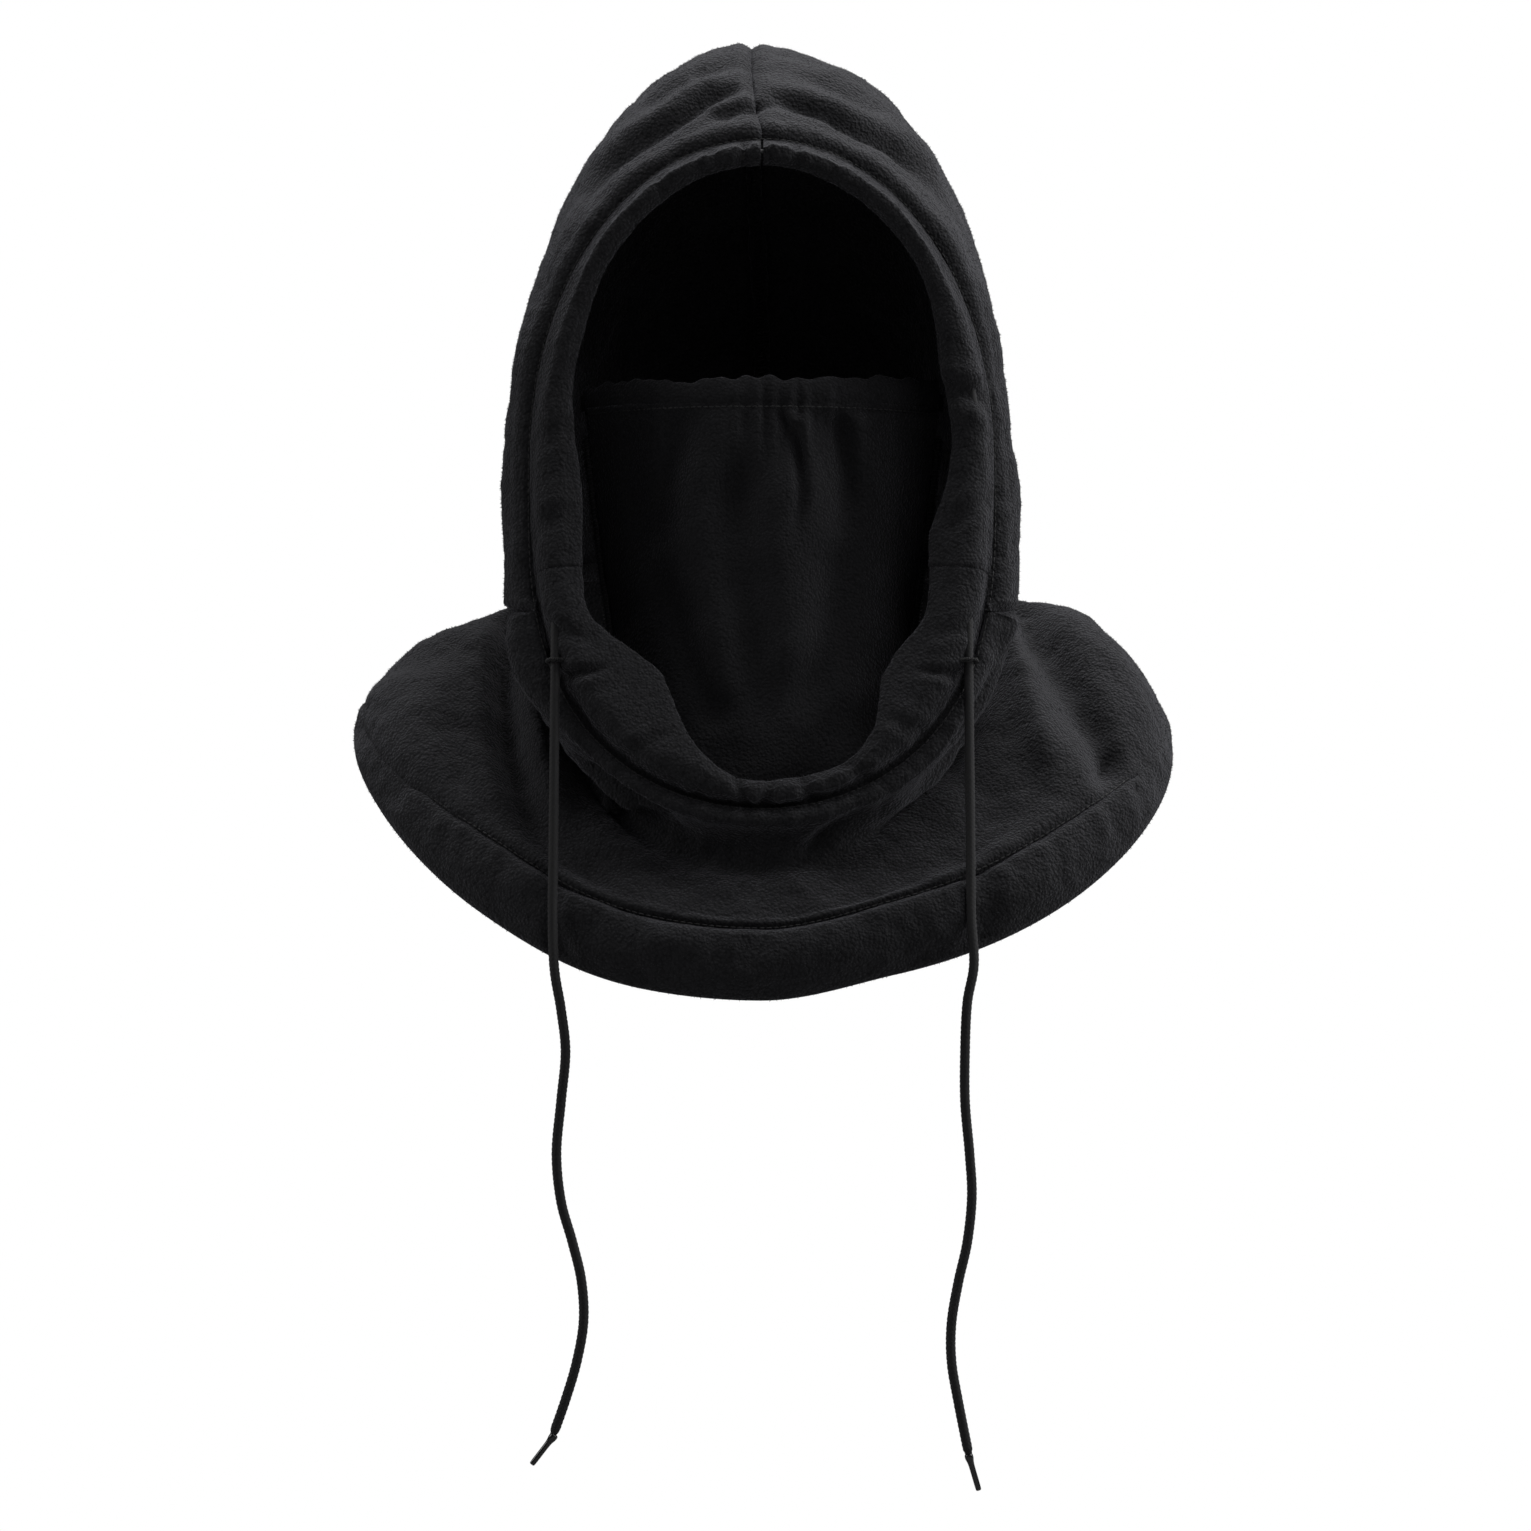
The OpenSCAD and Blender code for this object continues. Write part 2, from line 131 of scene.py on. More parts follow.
def fleeceMaterial(name, look):
    material, tree = startMaterial(name)
    place = addNode(tree, "ShaderNodeTexCoord").outputs["Object"]
    tuft = addNode(tree, "ShaderNodeTexVoronoi", {"Scale": 1 / (look["tuft"] * mm), "Randomness": 1.0},
                   {"Vector": place}, feature="SMOOTH_F1")
    tuft.inputs["Smoothness"].default_value = 0.6
    clump = addNode(tree, "ShaderNodeTexNoise", {"Scale": 0.6 / (look["tuft"] * mm), "Detail": 2.0},
                    {"Vector": place})
    fibre = addNode(tree, "ShaderNodeTexNoise", {"Scale": 1 / (look["fibre"] * mm), "Detail": 2.0},
                    {"Vector": place})
    patch = addNode(tree, "ShaderNodeTexNoise", {"Scale": 1 / (look["patch"] * mm), "Detail": 2.0},
                    {"Vector": place})
    rise = addNode(tree, "ShaderNodeMath", {1: -0.9}, {0: tuft.outputs["Distance"]}, operation="MULTIPLY")
    high = addNode(tree, "ShaderNodeMath", {1: 0.7, 2: 0.4}, {0: clump.outputs["Fac"]},
                   operation="MULTIPLY_ADD")
    nap = addNode(tree, "ShaderNodeMath", None, {0: rise.outputs[0], 1: high.outputs[0]}, operation="ADD")
    fine = addNode(tree, "ShaderNodeMath", {1: 0.35}, {0: fibre.outputs["Fac"]}, operation="MULTIPLY")
    height = addNode(tree, "ShaderNodeMath", None, {0: nap.outputs[0], 1: fine.outputs[0]}, operation="ADD")
    worn = addNode(tree, "ShaderNodeMath", {1: 0.5, 2: 0.0}, {0: patch.outputs["Fac"]},
                   operation="MULTIPLY_ADD")
    # The colour follows the nap's height: painted shade between the tufts and painted light on them, mixed
    # with random patches of tone
    tuftShadeAndPatches = addNode(tree, "ShaderNodeMath", None, {0: height.outputs[0], 1: worn.outputs[0]},
                   operation="ADD", use_clamp=True)
    colour = addNode(tree, "ShaderNodeMix", {"A": linear(look["paintedShade"]), "B": linear(look["lit"])},
                     {"Factor": tuftShadeAndPatches.outputs[0]}, data_type="RGBA")
    bump = addNode(tree, "ShaderNodeBump", {"Strength": look["bump"], "Distance": look["bumpDepth"] * mm},
                   {"Height": height.outputs[0]})
    cloth = addNode(tree, "ShaderNodeBsdfPrincipled",
                    {"Roughness": 0.95, "IOR": 1.45, "Specular IOR Level": 0.2,
                     "Sheen Weight": look["sheen"], "Sheen Roughness": 0.45,
                     "Sheen Tint": linear(look["sheenColour"])},
                    {"Base Color": colour.outputs["Result"], "Normal": bump.outputs["Normal"]})
    addNode(tree, "ShaderNodeOutputMaterial", None, {"Surface": cloth.outputs["BSDF"]})
    return material


# Spun polyester sewing thread: two plies twisted together, with a dull gleam along the ridges painted into
# the colour as a painted highlight, and painted shade in the grooves
def threadMaterial(name, ply):
    material, tree = startMaterial(name)
    place = addNode(tree, "ShaderNodeTexCoord").outputs["Object"]
    twist = addNode(tree, "ShaderNodeTexWave", {"Scale": 1 / (ply * mm * 2), "Distortion": 1.5},
                    {"Vector": place}, bands_direction="DIAGONAL")
    # painted highlight on the twist's ridges, painted shade in its grooves
    colour = addNode(tree, "ShaderNodeMix", {"A": linear("#070708"), "B": linear("#131315")},
                     {"Factor": twist.outputs["Fac"]}, data_type="RGBA")
    bump = addNode(tree, "ShaderNodeBump", {"Strength": 0.5, "Distance": 0.1 * mm},
                   {"Height": twist.outputs["Fac"]})
    cloth = addNode(tree, "ShaderNodeBsdfPrincipled",
                    {"Roughness": 0.6, "IOR": 1.5, "Specular IOR Level": 0.35},
                    {"Base Color": colour.outputs["Result"], "Normal": bump.outputs["Normal"]})
    addNode(tree, "ShaderNodeOutputMaterial", None, {"Surface": cloth.outputs["BSDF"]})
    return material


# Braided polyester cord: filament yarns laid over each other, smoother and shinier than the fleece
def braidMaterial(name, yarn):
    material, tree = startMaterial(name)
    place = addNode(tree, "ShaderNodeTexCoord").outputs["Object"]
    strand = addNode(tree, "ShaderNodeTexNoise", {"Scale": 1 / (yarn * mm), "Detail": 3.0, "Roughness": 0.7},
                     {"Vector": place})
    colour = addNode(tree, "ShaderNodeMix", {"A": linear("#080809"), "B": linear("#151517")},
                     {"Factor": strand.outputs["Fac"]}, data_type="RGBA")
    bump = addNode(tree, "ShaderNodeBump", {"Strength": 0.5, "Distance": 0.15 * mm},
                   {"Height": strand.outputs["Fac"]})
    cloth = addNode(tree, "ShaderNodeBsdfPrincipled",
                    {"Roughness": 0.7, "IOR": 1.5, "Specular IOR Level": 0.3, "Sheen Weight": 0.12,
                     "Sheen Roughness": 0.4, "Sheen Tint": linear("#8a8a92")},
                    {"Base Color": colour.outputs["Result"], "Normal": bump.outputs["Normal"]})
    addNode(tree, "ShaderNodeOutputMaterial", None, {"Surface": cloth.outputs["BSDF"]})
    return material


# Acetate film, wrapped and shrunk round the cord's end: smooth and glossy, with faint drawn streaks
def filmMaterial(name):
    material, tree = startMaterial(name)
    place = addNode(tree, "ShaderNodeTexCoord").outputs["Object"]
    streak = addNode(tree, "ShaderNodeTexNoise", {"Scale": 1 / (0.9 * mm), "Detail": 2.0}, {"Vector": place})
    colour = addNode(tree, "ShaderNodeMix", {"A": linear("#070708"), "B": linear("#101012")},
                     {"Factor": streak.outputs["Fac"]}, data_type="RGBA")
    gloss = addNode(tree, "ShaderNodeMapRange", {"To Min": 0.14, "To Max": 0.34},
                    {"Value": streak.outputs["Fac"]})
    plastic = addNode(tree, "ShaderNodeBsdfPrincipled", {"IOR": 1.48},
                      {"Base Color": colour.outputs["Result"], "Roughness": gloss.outputs["Result"]})
    addNode(tree, "ShaderNodeOutputMaterial", None, {"Surface": plastic.outputs["BSDF"]})
    return material


# Knitted elastic tape: covered rubber threads run along it, so it is ribbed
def tapeMaterial(name, rib):
    material, tree = startMaterial(name)
    place = addNode(tree, "ShaderNodeTexCoord").outputs["Object"]
    ribs = addNode(tree, "ShaderNodeTexWave", {"Scale": 0.3 / (rib * mm)}, {"Vector": place},
                   bands_direction="Z")
    colour = addNode(tree, "ShaderNodeMix", {"A": linear("#0c0c0d"), "B": linear("#1d1d20")},
                     {"Factor": ribs.outputs["Fac"]}, data_type="RGBA")
    bump = addNode(tree, "ShaderNodeBump", {"Strength": 0.6, "Distance": 0.2 * mm},
                   {"Height": ribs.outputs["Fac"]})
    cloth = addNode(tree, "ShaderNodeBsdfPrincipled", {"Roughness": 0.75, "Specular IOR Level": 0.3},
                    {"Base Color": colour.outputs["Result"], "Normal": bump.outputs["Normal"]})
    addNode(tree, "ShaderNodeOutputMaterial", None, {"Surface": cloth.outputs["BSDF"]})
    return material


polarFleece = fleeceMaterial("polarFleece", fleeceLook)
maskFleece = fleeceMaterial("shornMaskFleece", maskCloth)
sewingThread = threadMaterial("spunSewingThread", 0.45)
braidedCord = braidMaterial("braidedPolyesterCord", 0.5)
shrunkFilm = filmMaterial("shrunkAcetateFilm")
elasticTape = tapeMaterial("knittedElasticTape", 1.0)
print("materials made")


# Driving sizes come from the frame, in mm; the rest of the drape is drawn as rings from the face
# opening, over the head and down to the shoulders
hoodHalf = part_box("hood_panel_right")[1].x / mm
hemLow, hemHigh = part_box("cape_hem")
capeHalf = hemHigh.x / mm
hemFrontZ = hemLow.z / mm
neckSeamZ = -271

# Each ring: top or back y and z, bottom or front y and z, half width, side y and z, and the squareness
# of its upper and lower half, where 2 is an ellipse
drapeRings = np.array([
    [-92, -57, -116, -358, 105, -82, -205, 2.15, 3.1],
    [-82, -46, -117, -365, hoodHalf, -66, -208, 2.2, 2.9],
    [-50, -17, -109, -371, hoodHalf, -40, -211, 2.35, 2.7],
    [-8, 5, -107, -376, hoodHalf - 1, -12, -216, 2.35, 2.5],
    [60, -14, -108, -381, hoodHalf - 9, 12, -226, 2.3, 2.3],
    [102, -75, -110, -386, hoodHalf - 16, 24, -238, 2.3, 2.3],
    [112, -150, -113, -391, hoodHalf - 17, 26, -250, 2.2, 2.2],
    [98, -250, -116, -396, hoodHalf - 12, 20, -262, 2.1, 2.1],
    [95, -290, -119, -401, hoodHalf + 10, 15, -271, 2.1, 2.2],
    [108, -342, -123, -407, hoodHalf + 42, 10, -283, 2.2, 2.5],
    [124, -380, -127, -413, capeHalf - 13, 6, -297, 2.5, 2.7],
    [131, -412, -130, hemFrontZ, capeHalf, 3, -324, 2.6, 2.8],
])
tunnelRing = np.array([-95, -67, -114.5, -348.5, 94.4, -86.5, -205, 2.15, 3.1])
neckRing = 7
stitchRing = 10
hemRing = 11
faceEdgeRing = 0.12
cornerStop = 0.3


def throughFour(a, b, c, d, u):
    cubic = 3 * b - a - 3 * c + d
    return (2 * b + (c - a) * u + (2 * a - 5 * b + 4 * c - d) * u * u + cubic * u * u * u) / 2


def ringAt(s):
    known = np.vstack([2 * drapeRings[0] - drapeRings[1], drapeRings, 2 * drapeRings[-1] - drapeRings[-2]])
    i = np.clip(np.floor(s).astype(int), 0, hemRing - 1)
    return throughFour(known[i], known[i + 1], known[i + 2], known[i + 3], (s - i)[..., None])


# A point on a ring at angle t in degrees: 0 at the top or back, 90 at the right, 180 at the chin
def onRing(ring, t):
    r = np.moveaxis(np.broadcast_to(ring, t.shape + (9,)), -1, 0)
    c = np.cos(np.radians(t))
    bend = np.abs(c) ** 1.7
    square = np.where(c >= 0, r[7], r[8])
    x = np.sign(np.sin(np.radians(t))) * r[4] * np.sqrt(np.maximum(0, 1 - np.abs(c) ** square))
    y = r[5] + (r[0] - r[2]) / 2 * c + ((r[0] + r[2]) / 2 - r[5]) * bend
    z = r[6] + (r[1] - r[3]) / 2 * c + ((r[1] + r[3]) / 2 - r[6]) * bend
    return np.stack([x, y, z], -1)


def drape(s, t):
    s, t = np.broadcast_arrays(np.asarray(s, float), np.asarray(t, float))
    return onRing(ringAt(s), t)


def unit(v):
    return v / np.maximum(np.linalg.norm(v, axis=-1, keepdims=True), 1e-9)


def drapeNormal(s, t):
    s, t = np.broadcast_arrays(np.asarray(s, float), np.asarray(t, float))
    across = drape(s, t + 1.5) - drape(s, t - 1.5)
    along = drape(s + 0.05, t) - drape(np.maximum(0, s - 0.05), t)
    return unit(np.cross(across, along))


# The angle at which the neck seam crosses a ring at the side of the neck
def seamTurn(s):
    low, high = 60.0, 130.0
    for _ in range(16):
        middle = (low + high) / 2
        if drape(s, middle)[2] > neckSeamZ + 9 * s / neckRing:
            low = middle
        else:
            high = middle
    return (low + high) / 2


backSteps, sideSteps, chinSteps = 18, 8, 14
sideRings = [cornerStop + (neckRing - cornerStop) * (1 - i / sideSteps) for i in range(sideSteps + 1)]
neckSeam = [[neckRing, seamTurn(neckRing) * i / backSteps] for i in range(backSteps)]
neckSeam = np.array(neckSeam + [[s, seamTurn(s)] for s in sideRings])
seamCorner = neckSeam[-1][1]


def edgeHalf(s, knee, corner):
    turns = [knee * i / backSteps for i in range(backSteps)]
    turns += [knee + (corner - knee) * i / sideSteps for i in range(sideSteps + 1)]
    return np.array([[s, t] for t in turns])


def edgeChin(s, corner):
    return np.array([[s, corner + (180 - corner) * i / chinSteps] for i in range(chinSteps + 1)])


def smoothLine(points, count=48):
    known = np.array([points[0]] + list(points) + [points[-1]], float)
    at = np.linspace(0, len(points) - 1 - 1e-6, count)
    i = np.floor(at).astype(int)
    return throughFour(known[i], known[i + 1], known[i + 2], known[i + 3], (at - i)[:, None])


def smoothStep(x, low, high):
    u = np.clip((x - low) / (high - low), 0, 1)
    return u * u * (3 - 2 * u)


# How near each point is to a line seen from one side: distance, which side of it, and how far along
def nearLine(flat, line):
    start, way = line[:-1], np.diff(line, axis=0)
    gap = flat[:, None, :] - start[None]
    u = np.clip((gap * way).sum(-1) / (way * way).sum(-1), 0, 1)
    off = gap - u[..., None] * way
    far = np.sqrt((off * off).sum(-1))
    best = far.argmin(1)
    pick = np.arange(len(flat))
    turn = way[best, 0] * gap[pick, best, 1] - way[best, 1] * gap[pick, best, 0]
    return far[pick, best], np.sign(turn), (best + u[pick, best]) / len(start)


sides = {"front": (0, 2, 1, -1), "back": (0, 2, 1, 1), "left": (1, 2, 0, -1), "right": (1, 2, 0, 1)}


# A fold is a furrow along a line, and a roll that stands up on its left or right (roll side 1 or -1)
def foldHeight(points, normals, folds):
    shape = points.shape[:-1]
    spots = points.reshape(-1, 3)
    facing = normals.reshape(-1, 3)
    height = np.zeros(len(spots))
    for fold in folds:
        u, v, depthAxis, sign = sides[fold["seen"]]
        weight = smoothStep(facing[:, depthAxis] * sign, 0.02, 0.35)
        near = np.flatnonzero(weight > 0)
        far, side, along = nearLine(spots[near][:, [u, v]], smoothLine(fold["line"]))
        ends = smoothStep(along, 0, fold.get("fade", 0.3)) * smoothStep(1 - along, 0, fold.get("fade", 0.3))
        if fold.get("openStart"):
            ends = smoothStep(1 - along, 0, fold.get("fade", 0.3))
        rise = -fold.get("depth", 0) * np.exp(-(far / fold["width"]) ** 2)
        if "roll" in fold:
            wide = fold.get("rollWidth", fold["width"] * 1.6)
            shift = far * side * fold.get("rollSide", 1) - fold.get("rollAt", wide)
            rise = rise + fold["roll"] * np.exp(-(shift / wide) ** 2)
        height[near] += rise * ends * weight[near]
    return height.reshape(shape)


# Soft seeded lumps: a dozen plane waves of about one wavelength
def lumps(points, wavelength, seed):
    rng = np.random.default_rng(seed)
    total = np.zeros(points.shape[:-1])
    for _ in range(14):
        way = unit(rng.normal(size=3)) * 2 * math.pi / (wavelength * rng.uniform(0.7, 1.4))
        total += np.sin(points @ way + rng.uniform(0, 2 * math.pi))
    return total / math.sqrt(7)


def meshObject(name, points, faces, material, smooth=True):
    mesh = bpy.data.meshes.new(name)
    mesh.from_pydata((np.asarray(points).reshape(-1, 3) * mm).tolist(), [], faces)
    mesh.update()
    if smooth:
        mesh.polygons.foreach_set("use_smooth", [True] * len(mesh.polygons))
    mesh.materials.append(material)
    made = bpy.data.objects.new(name, mesh)
    bpy.context.scene.collection.objects.link(made)
    return made


# How far along a line each of its points lies
def runAlong(path):
    return np.concatenate([[0], np.cumsum(np.linalg.norm(np.diff(path, axis=0), axis=1))])


def gridFaces(rows, cols, wrapRows=False, wrapCols=False):
    faces = []
    for i in range(rows if wrapRows else rows - 1):
        j = (i + 1) % rows
        for k in range(cols if wrapCols else cols - 1):
            n = (k + 1) % cols
            faces.append((i * cols + k, i * cols + n, j * cols + n, j * cols + k))
    return faces


# Rings joined into a tube, with a face over each end
def tubeFaces(rows, cols):
    ends = [tuple(range(cols)), tuple(range((rows - 1) * cols, rows * cols))]
    return gridFaces(rows, cols, wrapCols=True) + ends


# Turns a closed shell's faces outwards
def faceOut(made):
    shell = bmesh.new()
    shell.from_mesh(made.data)
    bmesh.ops.recalc_face_normals(shell, faces=shell.faces)
    shell.to_mesh(made.data)
    shell.free()
    made.data.update()


# An open sheet's faces are turned to agree with the drape's outward side
def faceAlong(made, normals):
    first = made.data.polygons[len(made.data.polygons) // 2]
    outward = np.asarray(normals).reshape(-1, 3)[first.vertices[0]]
    if np.dot(np.array(first.normal), outward) < 0:
        made.data.flip_normals()


# The cloth's back lies one thickness behind its front
def thicken(made, thickness):
    solid = made.modifiers.new("clothThickness", "SOLIDIFY")
    solid.thickness = thickness * mm
    solid.offset = -1
    solid.use_rim = True
    return applyModifiers(made)


def applyModifiers(made):
    graph = bpy.context.evaluated_depsgraph_get()
    mesh = bpy.data.meshes.new_from_object(made.evaluated_get(graph))
    made.modifiers.clear()
    old = made.data
    made.data = mesh
    mesh.name = made.name
    bpy.data.meshes.remove(old)
    return made


# Rows of points from one edge to another, evenly spaced, with how far each is from both edges
def clothGrid(fromEdge, toEdge, spacing, rows):
    steps = np.arange(len(fromEdge))
    fine = np.linspace(0, len(fromEdge) - 1, 900)

    def onEdge(edge, at):
        return np.stack([np.interp(at, steps, edge[:, 0]), np.interp(at, steps, edge[:, 1])], -1)

    reach = 0
    for edge in (fromEdge, (fromEdge + toEdge) / 2, toEdge):
        path = drape(*onEdge(edge, fine).T)
        reach = reach + runAlong(path) / 3
    cols = int(reach[-1] / spacing) + 1
    at = np.interp(np.linspace(0, reach[-1], cols), reach, fine)
    a, b = onEdge(fromEdge, at), onEdge(toEdge, at)
    share = np.linspace(0, 1, 160)[:, None, None]
    places = a + (b - a) * share
    path = drape(places[..., 0], places[..., 1])
    run = np.linalg.norm(np.diff(path, axis=0), axis=2)
    run = np.vstack([np.zeros(cols), np.cumsum(run, axis=0)])
    even = np.linspace(0, 1, rows)
    cut = np.stack([np.interp(even * run[-1, k], run[:, k], share[:, 0, 0]) for k in range(cols)], 1)
    places = a + (b - a) * cut[..., None]
    return places[..., 0], places[..., 1], even[:, None] * run[-1], (1 - even[:, None]) * run[-1]


# Small ripples that sewing draws into the cloth beside a seam
def seamRipples(along, away, pitch, height, reach, seed):
    rng = np.random.default_rng(seed)
    wave = np.zeros_like(along)
    for part in (0.7, 1.0, 1.6):
        wave += np.sin(2 * math.pi * along * part / pitch + rng.uniform(0, 6))
    return wave / 2 * height * np.exp(-away / reach)


hoodLook = {
    "spacing": 2.0,  # mm between points
    "cloth": 3.3,
    "seamDip": 1.9,
    "seamDrift": 5,  # the crown seam wanders to the left
    "edgeTuck": 2.4,  # where the panel turns into the stitched groove round the face
    "edgeRidge": 1.3,
    "lumps": 0.45,
}
# Each fold is drawn on one side of the hood, as (across, up) points
crownFolds = [
    {"seen": "front",
     "line": [(2, -26), (-10, -28), (-24, -34), (-38, -44), (-57, -56), (-73, -69), (-88, -92)],
     "depth": 6, "width": 3.6, "roll": 4.4, "rollSide": -1, "rollAt": 9, "rollWidth": 6},
    {"seen": "front", "line": [(-2, -30), (12, -35), (27, -40), (42, -48), (62, -57), (77, -71), (90, -92)],
     "depth": 5.5, "width": 3.6, "roll": 3.8, "rollSide": 1, "rollAt": 9, "rollWidth": 6},
    {"seen": "front", "line": [(-24, -45), (-8, -41), (12, -36)], "depth": 3.2, "width": 2.6,
     "roll": 1.6, "rollSide": 1},
    {"seen": "front", "line": [(-10, -6), (-22, -17), (-42, -31), (-62, -48)],
     "depth": 3, "width": 4.5, "roll": 2, "rollSide": -1, "rollAt": 8},
    {"seen": "front", "line": [(20, -16), (44, -31), (66, -50)], "depth": 2.2, "width": 5, "roll": 1.2},
    {"seen": "left", "line": [(-58, -110), (-44, -165), (-52, -225), (-60, -258)],
     "depth": 2.2, "width": 9, "roll": 1.4},
    {"seen": "right", "line": [(-56, -100), (-46, -160), (-50, -215), (-62, -256)],
     "depth": 2.4, "width": 9, "roll": 1.4, "rollSide": -1},
    {"seen": "left", "line": [(-20, -215), (10, -240), (44, -238), (70, -222)], "depth": 3, "width": 8},
    {"seen": "right", "line": [(-24, -225), (8, -244), (40, -240), (72, -218)], "depth": 3, "width": 8},
    {"seen": "left", "line": [(20, -185), (48, -206), (78, -200)], "depth": 1.8, "width": 9},
    {"seen": "right", "line": [(28, -180), (52, -200), (80, -190)], "depth": 1.8, "width": 9},
    {"seen": "back", "line": [(-72, -214), (-30, -234), (10, -228), (48, -236), (78, -216)],
     "depth": 3.2, "width": 8, "roll": 1.5},
    {"seen": "back", "line": [(-58, -176), (-22, -196), (6, -188)], "depth": 1.8, "width": 9},
    {"seen": "back", "line": [(12, -200), (36, -206), (64, -188)], "depth": 1.8, "width": 9},
]


def shapeHood(points, normals, fromFace, fromSeam, along, look):
    height = foldHeight(points, normals, crownFolds)
    height += look["lumps"] * lumps(points, 30, 3) + 0.16 * lumps(points, 9, 4)
    height -= look["edgeTuck"] * np.exp(-(fromFace / 2.2) ** 2)
    height += look["edgeRidge"] * np.exp(-((fromFace - 7.5) / 4) ** 2)
    seen = 0.35 + 0.65 * smoothStep(fromFace, 14, 30)  # the seam sinks into the creases above the face
    height -= look["seamDip"] * seen * np.exp(-(np.abs(points[..., 0]) / 2.4) ** 2)
    height += 0.7 * np.exp(-((np.abs(points[..., 0]) - 6) / 3.5) ** 2)
    height = height * smoothStep(fromSeam, 0, 12) - 1.4 * np.exp(-(fromSeam / 2.2) ** 2)
    height += 1.0 * np.exp(-((fromSeam - 7) / 3) ** 2)
    height += seamRipples(along, fromFace, 15, 0.4, 5, 5)
    return height + seamRipples(along, fromSeam, 13, 0.5, 7, 6) * smoothStep(fromSeam, 0, 3)


def hoodDrift(s, look):
    return look["seamDrift"] * smoothStep(s, 0.3, 2.2) * smoothStep(-s, -6, -4)


# The hood leans a little, and is flattest on top
def leanHood(points):
    moved = points.copy()
    x, z = points[..., 0], points[..., 2]
    moved[..., 0] -= 5 * np.exp(-((z + 175) / 55) ** 2) * smoothStep(x, 70, 112)
    moved[..., 2] -= 3 * np.exp(-(x / 55) ** 2) * smoothStep(z, -40, -5)
    return moved


def makeHoodPanel(name, side, look):
    faceEdge = edgeHalf(faceEdgeRing, 80, seamCorner)
    s, t, fromFace, fromSeam = clothGrid(faceEdge, neckSeam, look["spacing"], 205)
    t = t * side
    points = drape(s, t)
    normals = drapeNormal(s, t)
    along = np.cumsum(np.ones_like(s), axis=1) * look["spacing"] * side
    points = points + normals * shapeHood(points, normals, fromFace, fromSeam, along, look)[..., None]
    points[..., 0] -= hoodDrift(s, look) * np.exp(-(points[..., 0] / 42) ** 2)
    points = leanHood(points)
    panel = meshObject(name, points, gridFaces(*s.shape), polarFleece)
    faceAlong(panel, normals)
    return panel


capeLook = {
    "spacing": 2.1,
    "cloth": 3.3,
    "lumps": 0.6,
    "shoulders": (3, 14),  # how much higher the left and right shoulder's cloth stands
    "corners": (11, 1),  # how far the left and right front corners lie to the right
    "frontRise": (0, 5),
    "hemSide": 0.55,  # the hem is narrower at the sides, in parts of a ring
}
capeFolds = [
    {"seen": "front", "line": [(-119, -254), (-122, -285), (-120, -315), (-112, -345), (-100, -380)],
     "depth": 11, "width": 7, "roll": 10, "rollSide": 1, "rollAt": 13, "rollWidth": 8,
     "openStart": True, "fade": 0.35},
    {"seen": "front", "line": [(-92, -312), (-80, -338), (-56, -362), (-28, -378), (10, -384)],
     "depth": 9, "width": 9},
    {"seen": "front", "line": [(105, -264), (104, -288), (98, -314), (86, -336), (64, -358)],
     "depth": 11, "width": 6.5, "openStart": True, "fade": 0.4},
    {"seen": "front", "line": [(114, -256), (120, -290), (127, -326), (136, -362)],
     "width": 9, "roll": 7, "rollAt": 0, "rollWidth": 8, "openStart": True},
    {"seen": "front", "line": [(124, -262), (136, -296), (149, -326), (161, -358), (150, -382)],
     "depth": 10, "width": 9, "openStart": True},
    {"seen": "front", "line": [(154, -340), (163, -358), (148, -378)], "depth": 4, "width": 9},
    {"seen": "front", "line": [(150, -272), (168, -298), (182, -322)], "width": 8, "roll": 3,
     "rollAt": 0, "rollWidth": 9},
    {"seen": "front", "line": [(50, -355), (33, -366), (17, -380)], "depth": 4, "width": 3.4,
     "roll": 2.4, "rollSide": -1},
    {"seen": "front", "line": [(-30, -374), (0, -384), (34, -378)], "depth": 4, "width": 6},
    {"seen": "front", "line": [(-132, -300), (-146, -330), (-140, -368), (-118, -392)],
     "depth": 2.6, "width": 12, "roll": 2, "rollSide": -1},
    {"seen": "front", "line": [(-64, -396), (-92, -380), (-112, -352)], "depth": 2.4, "width": 8},
    {"seen": "front", "line": [(74, -392), (96, -374), (112, -346)], "depth": 2, "width": 9},
    {"seen": "back", "line": [(-66, -262), (-24, -272), (20, -266), (64, -262)], "depth": 2.4, "width": 7},
    {"seen": "back", "line": [(-84, -290), (-40, -302), (6, -296), (30, -300)], "depth": 3, "width": 8,
     "roll": 1.8},
    {"seen": "back", "line": [(20, -312), (58, -300), (90, -284)], "depth": 2.6, "width": 8},
    {"seen": "back", "line": [(-96, -300), (-112, -340), (-118, -380)], "depth": 3, "width": 12, "roll": 2},
    {"seen": "back", "line": [(-44, -318), (-52, -352), (-50, -384)], "depth": 2.6, "width": 11, "roll": 2},
    {"seen": "back", "line": [(28, -322), (34, -352), (30, -386)], "depth": 2.4, "width": 12},
    {"seen": "back", "line": [(84, -304), (104, -338), (112, -374)], "depth": 3, "width": 12,
     "roll": 2, "rollSide": -1},
    {"seen": "left", "line": [(-70, -262), (-44, -286), (-10, -292), (24, -284)], "depth": 3, "width": 8},
    {"seen": "right", "line": [(-30, -266), (2, -286), (34, -282), (58, -272)], "depth": 3, "width": 8},
]


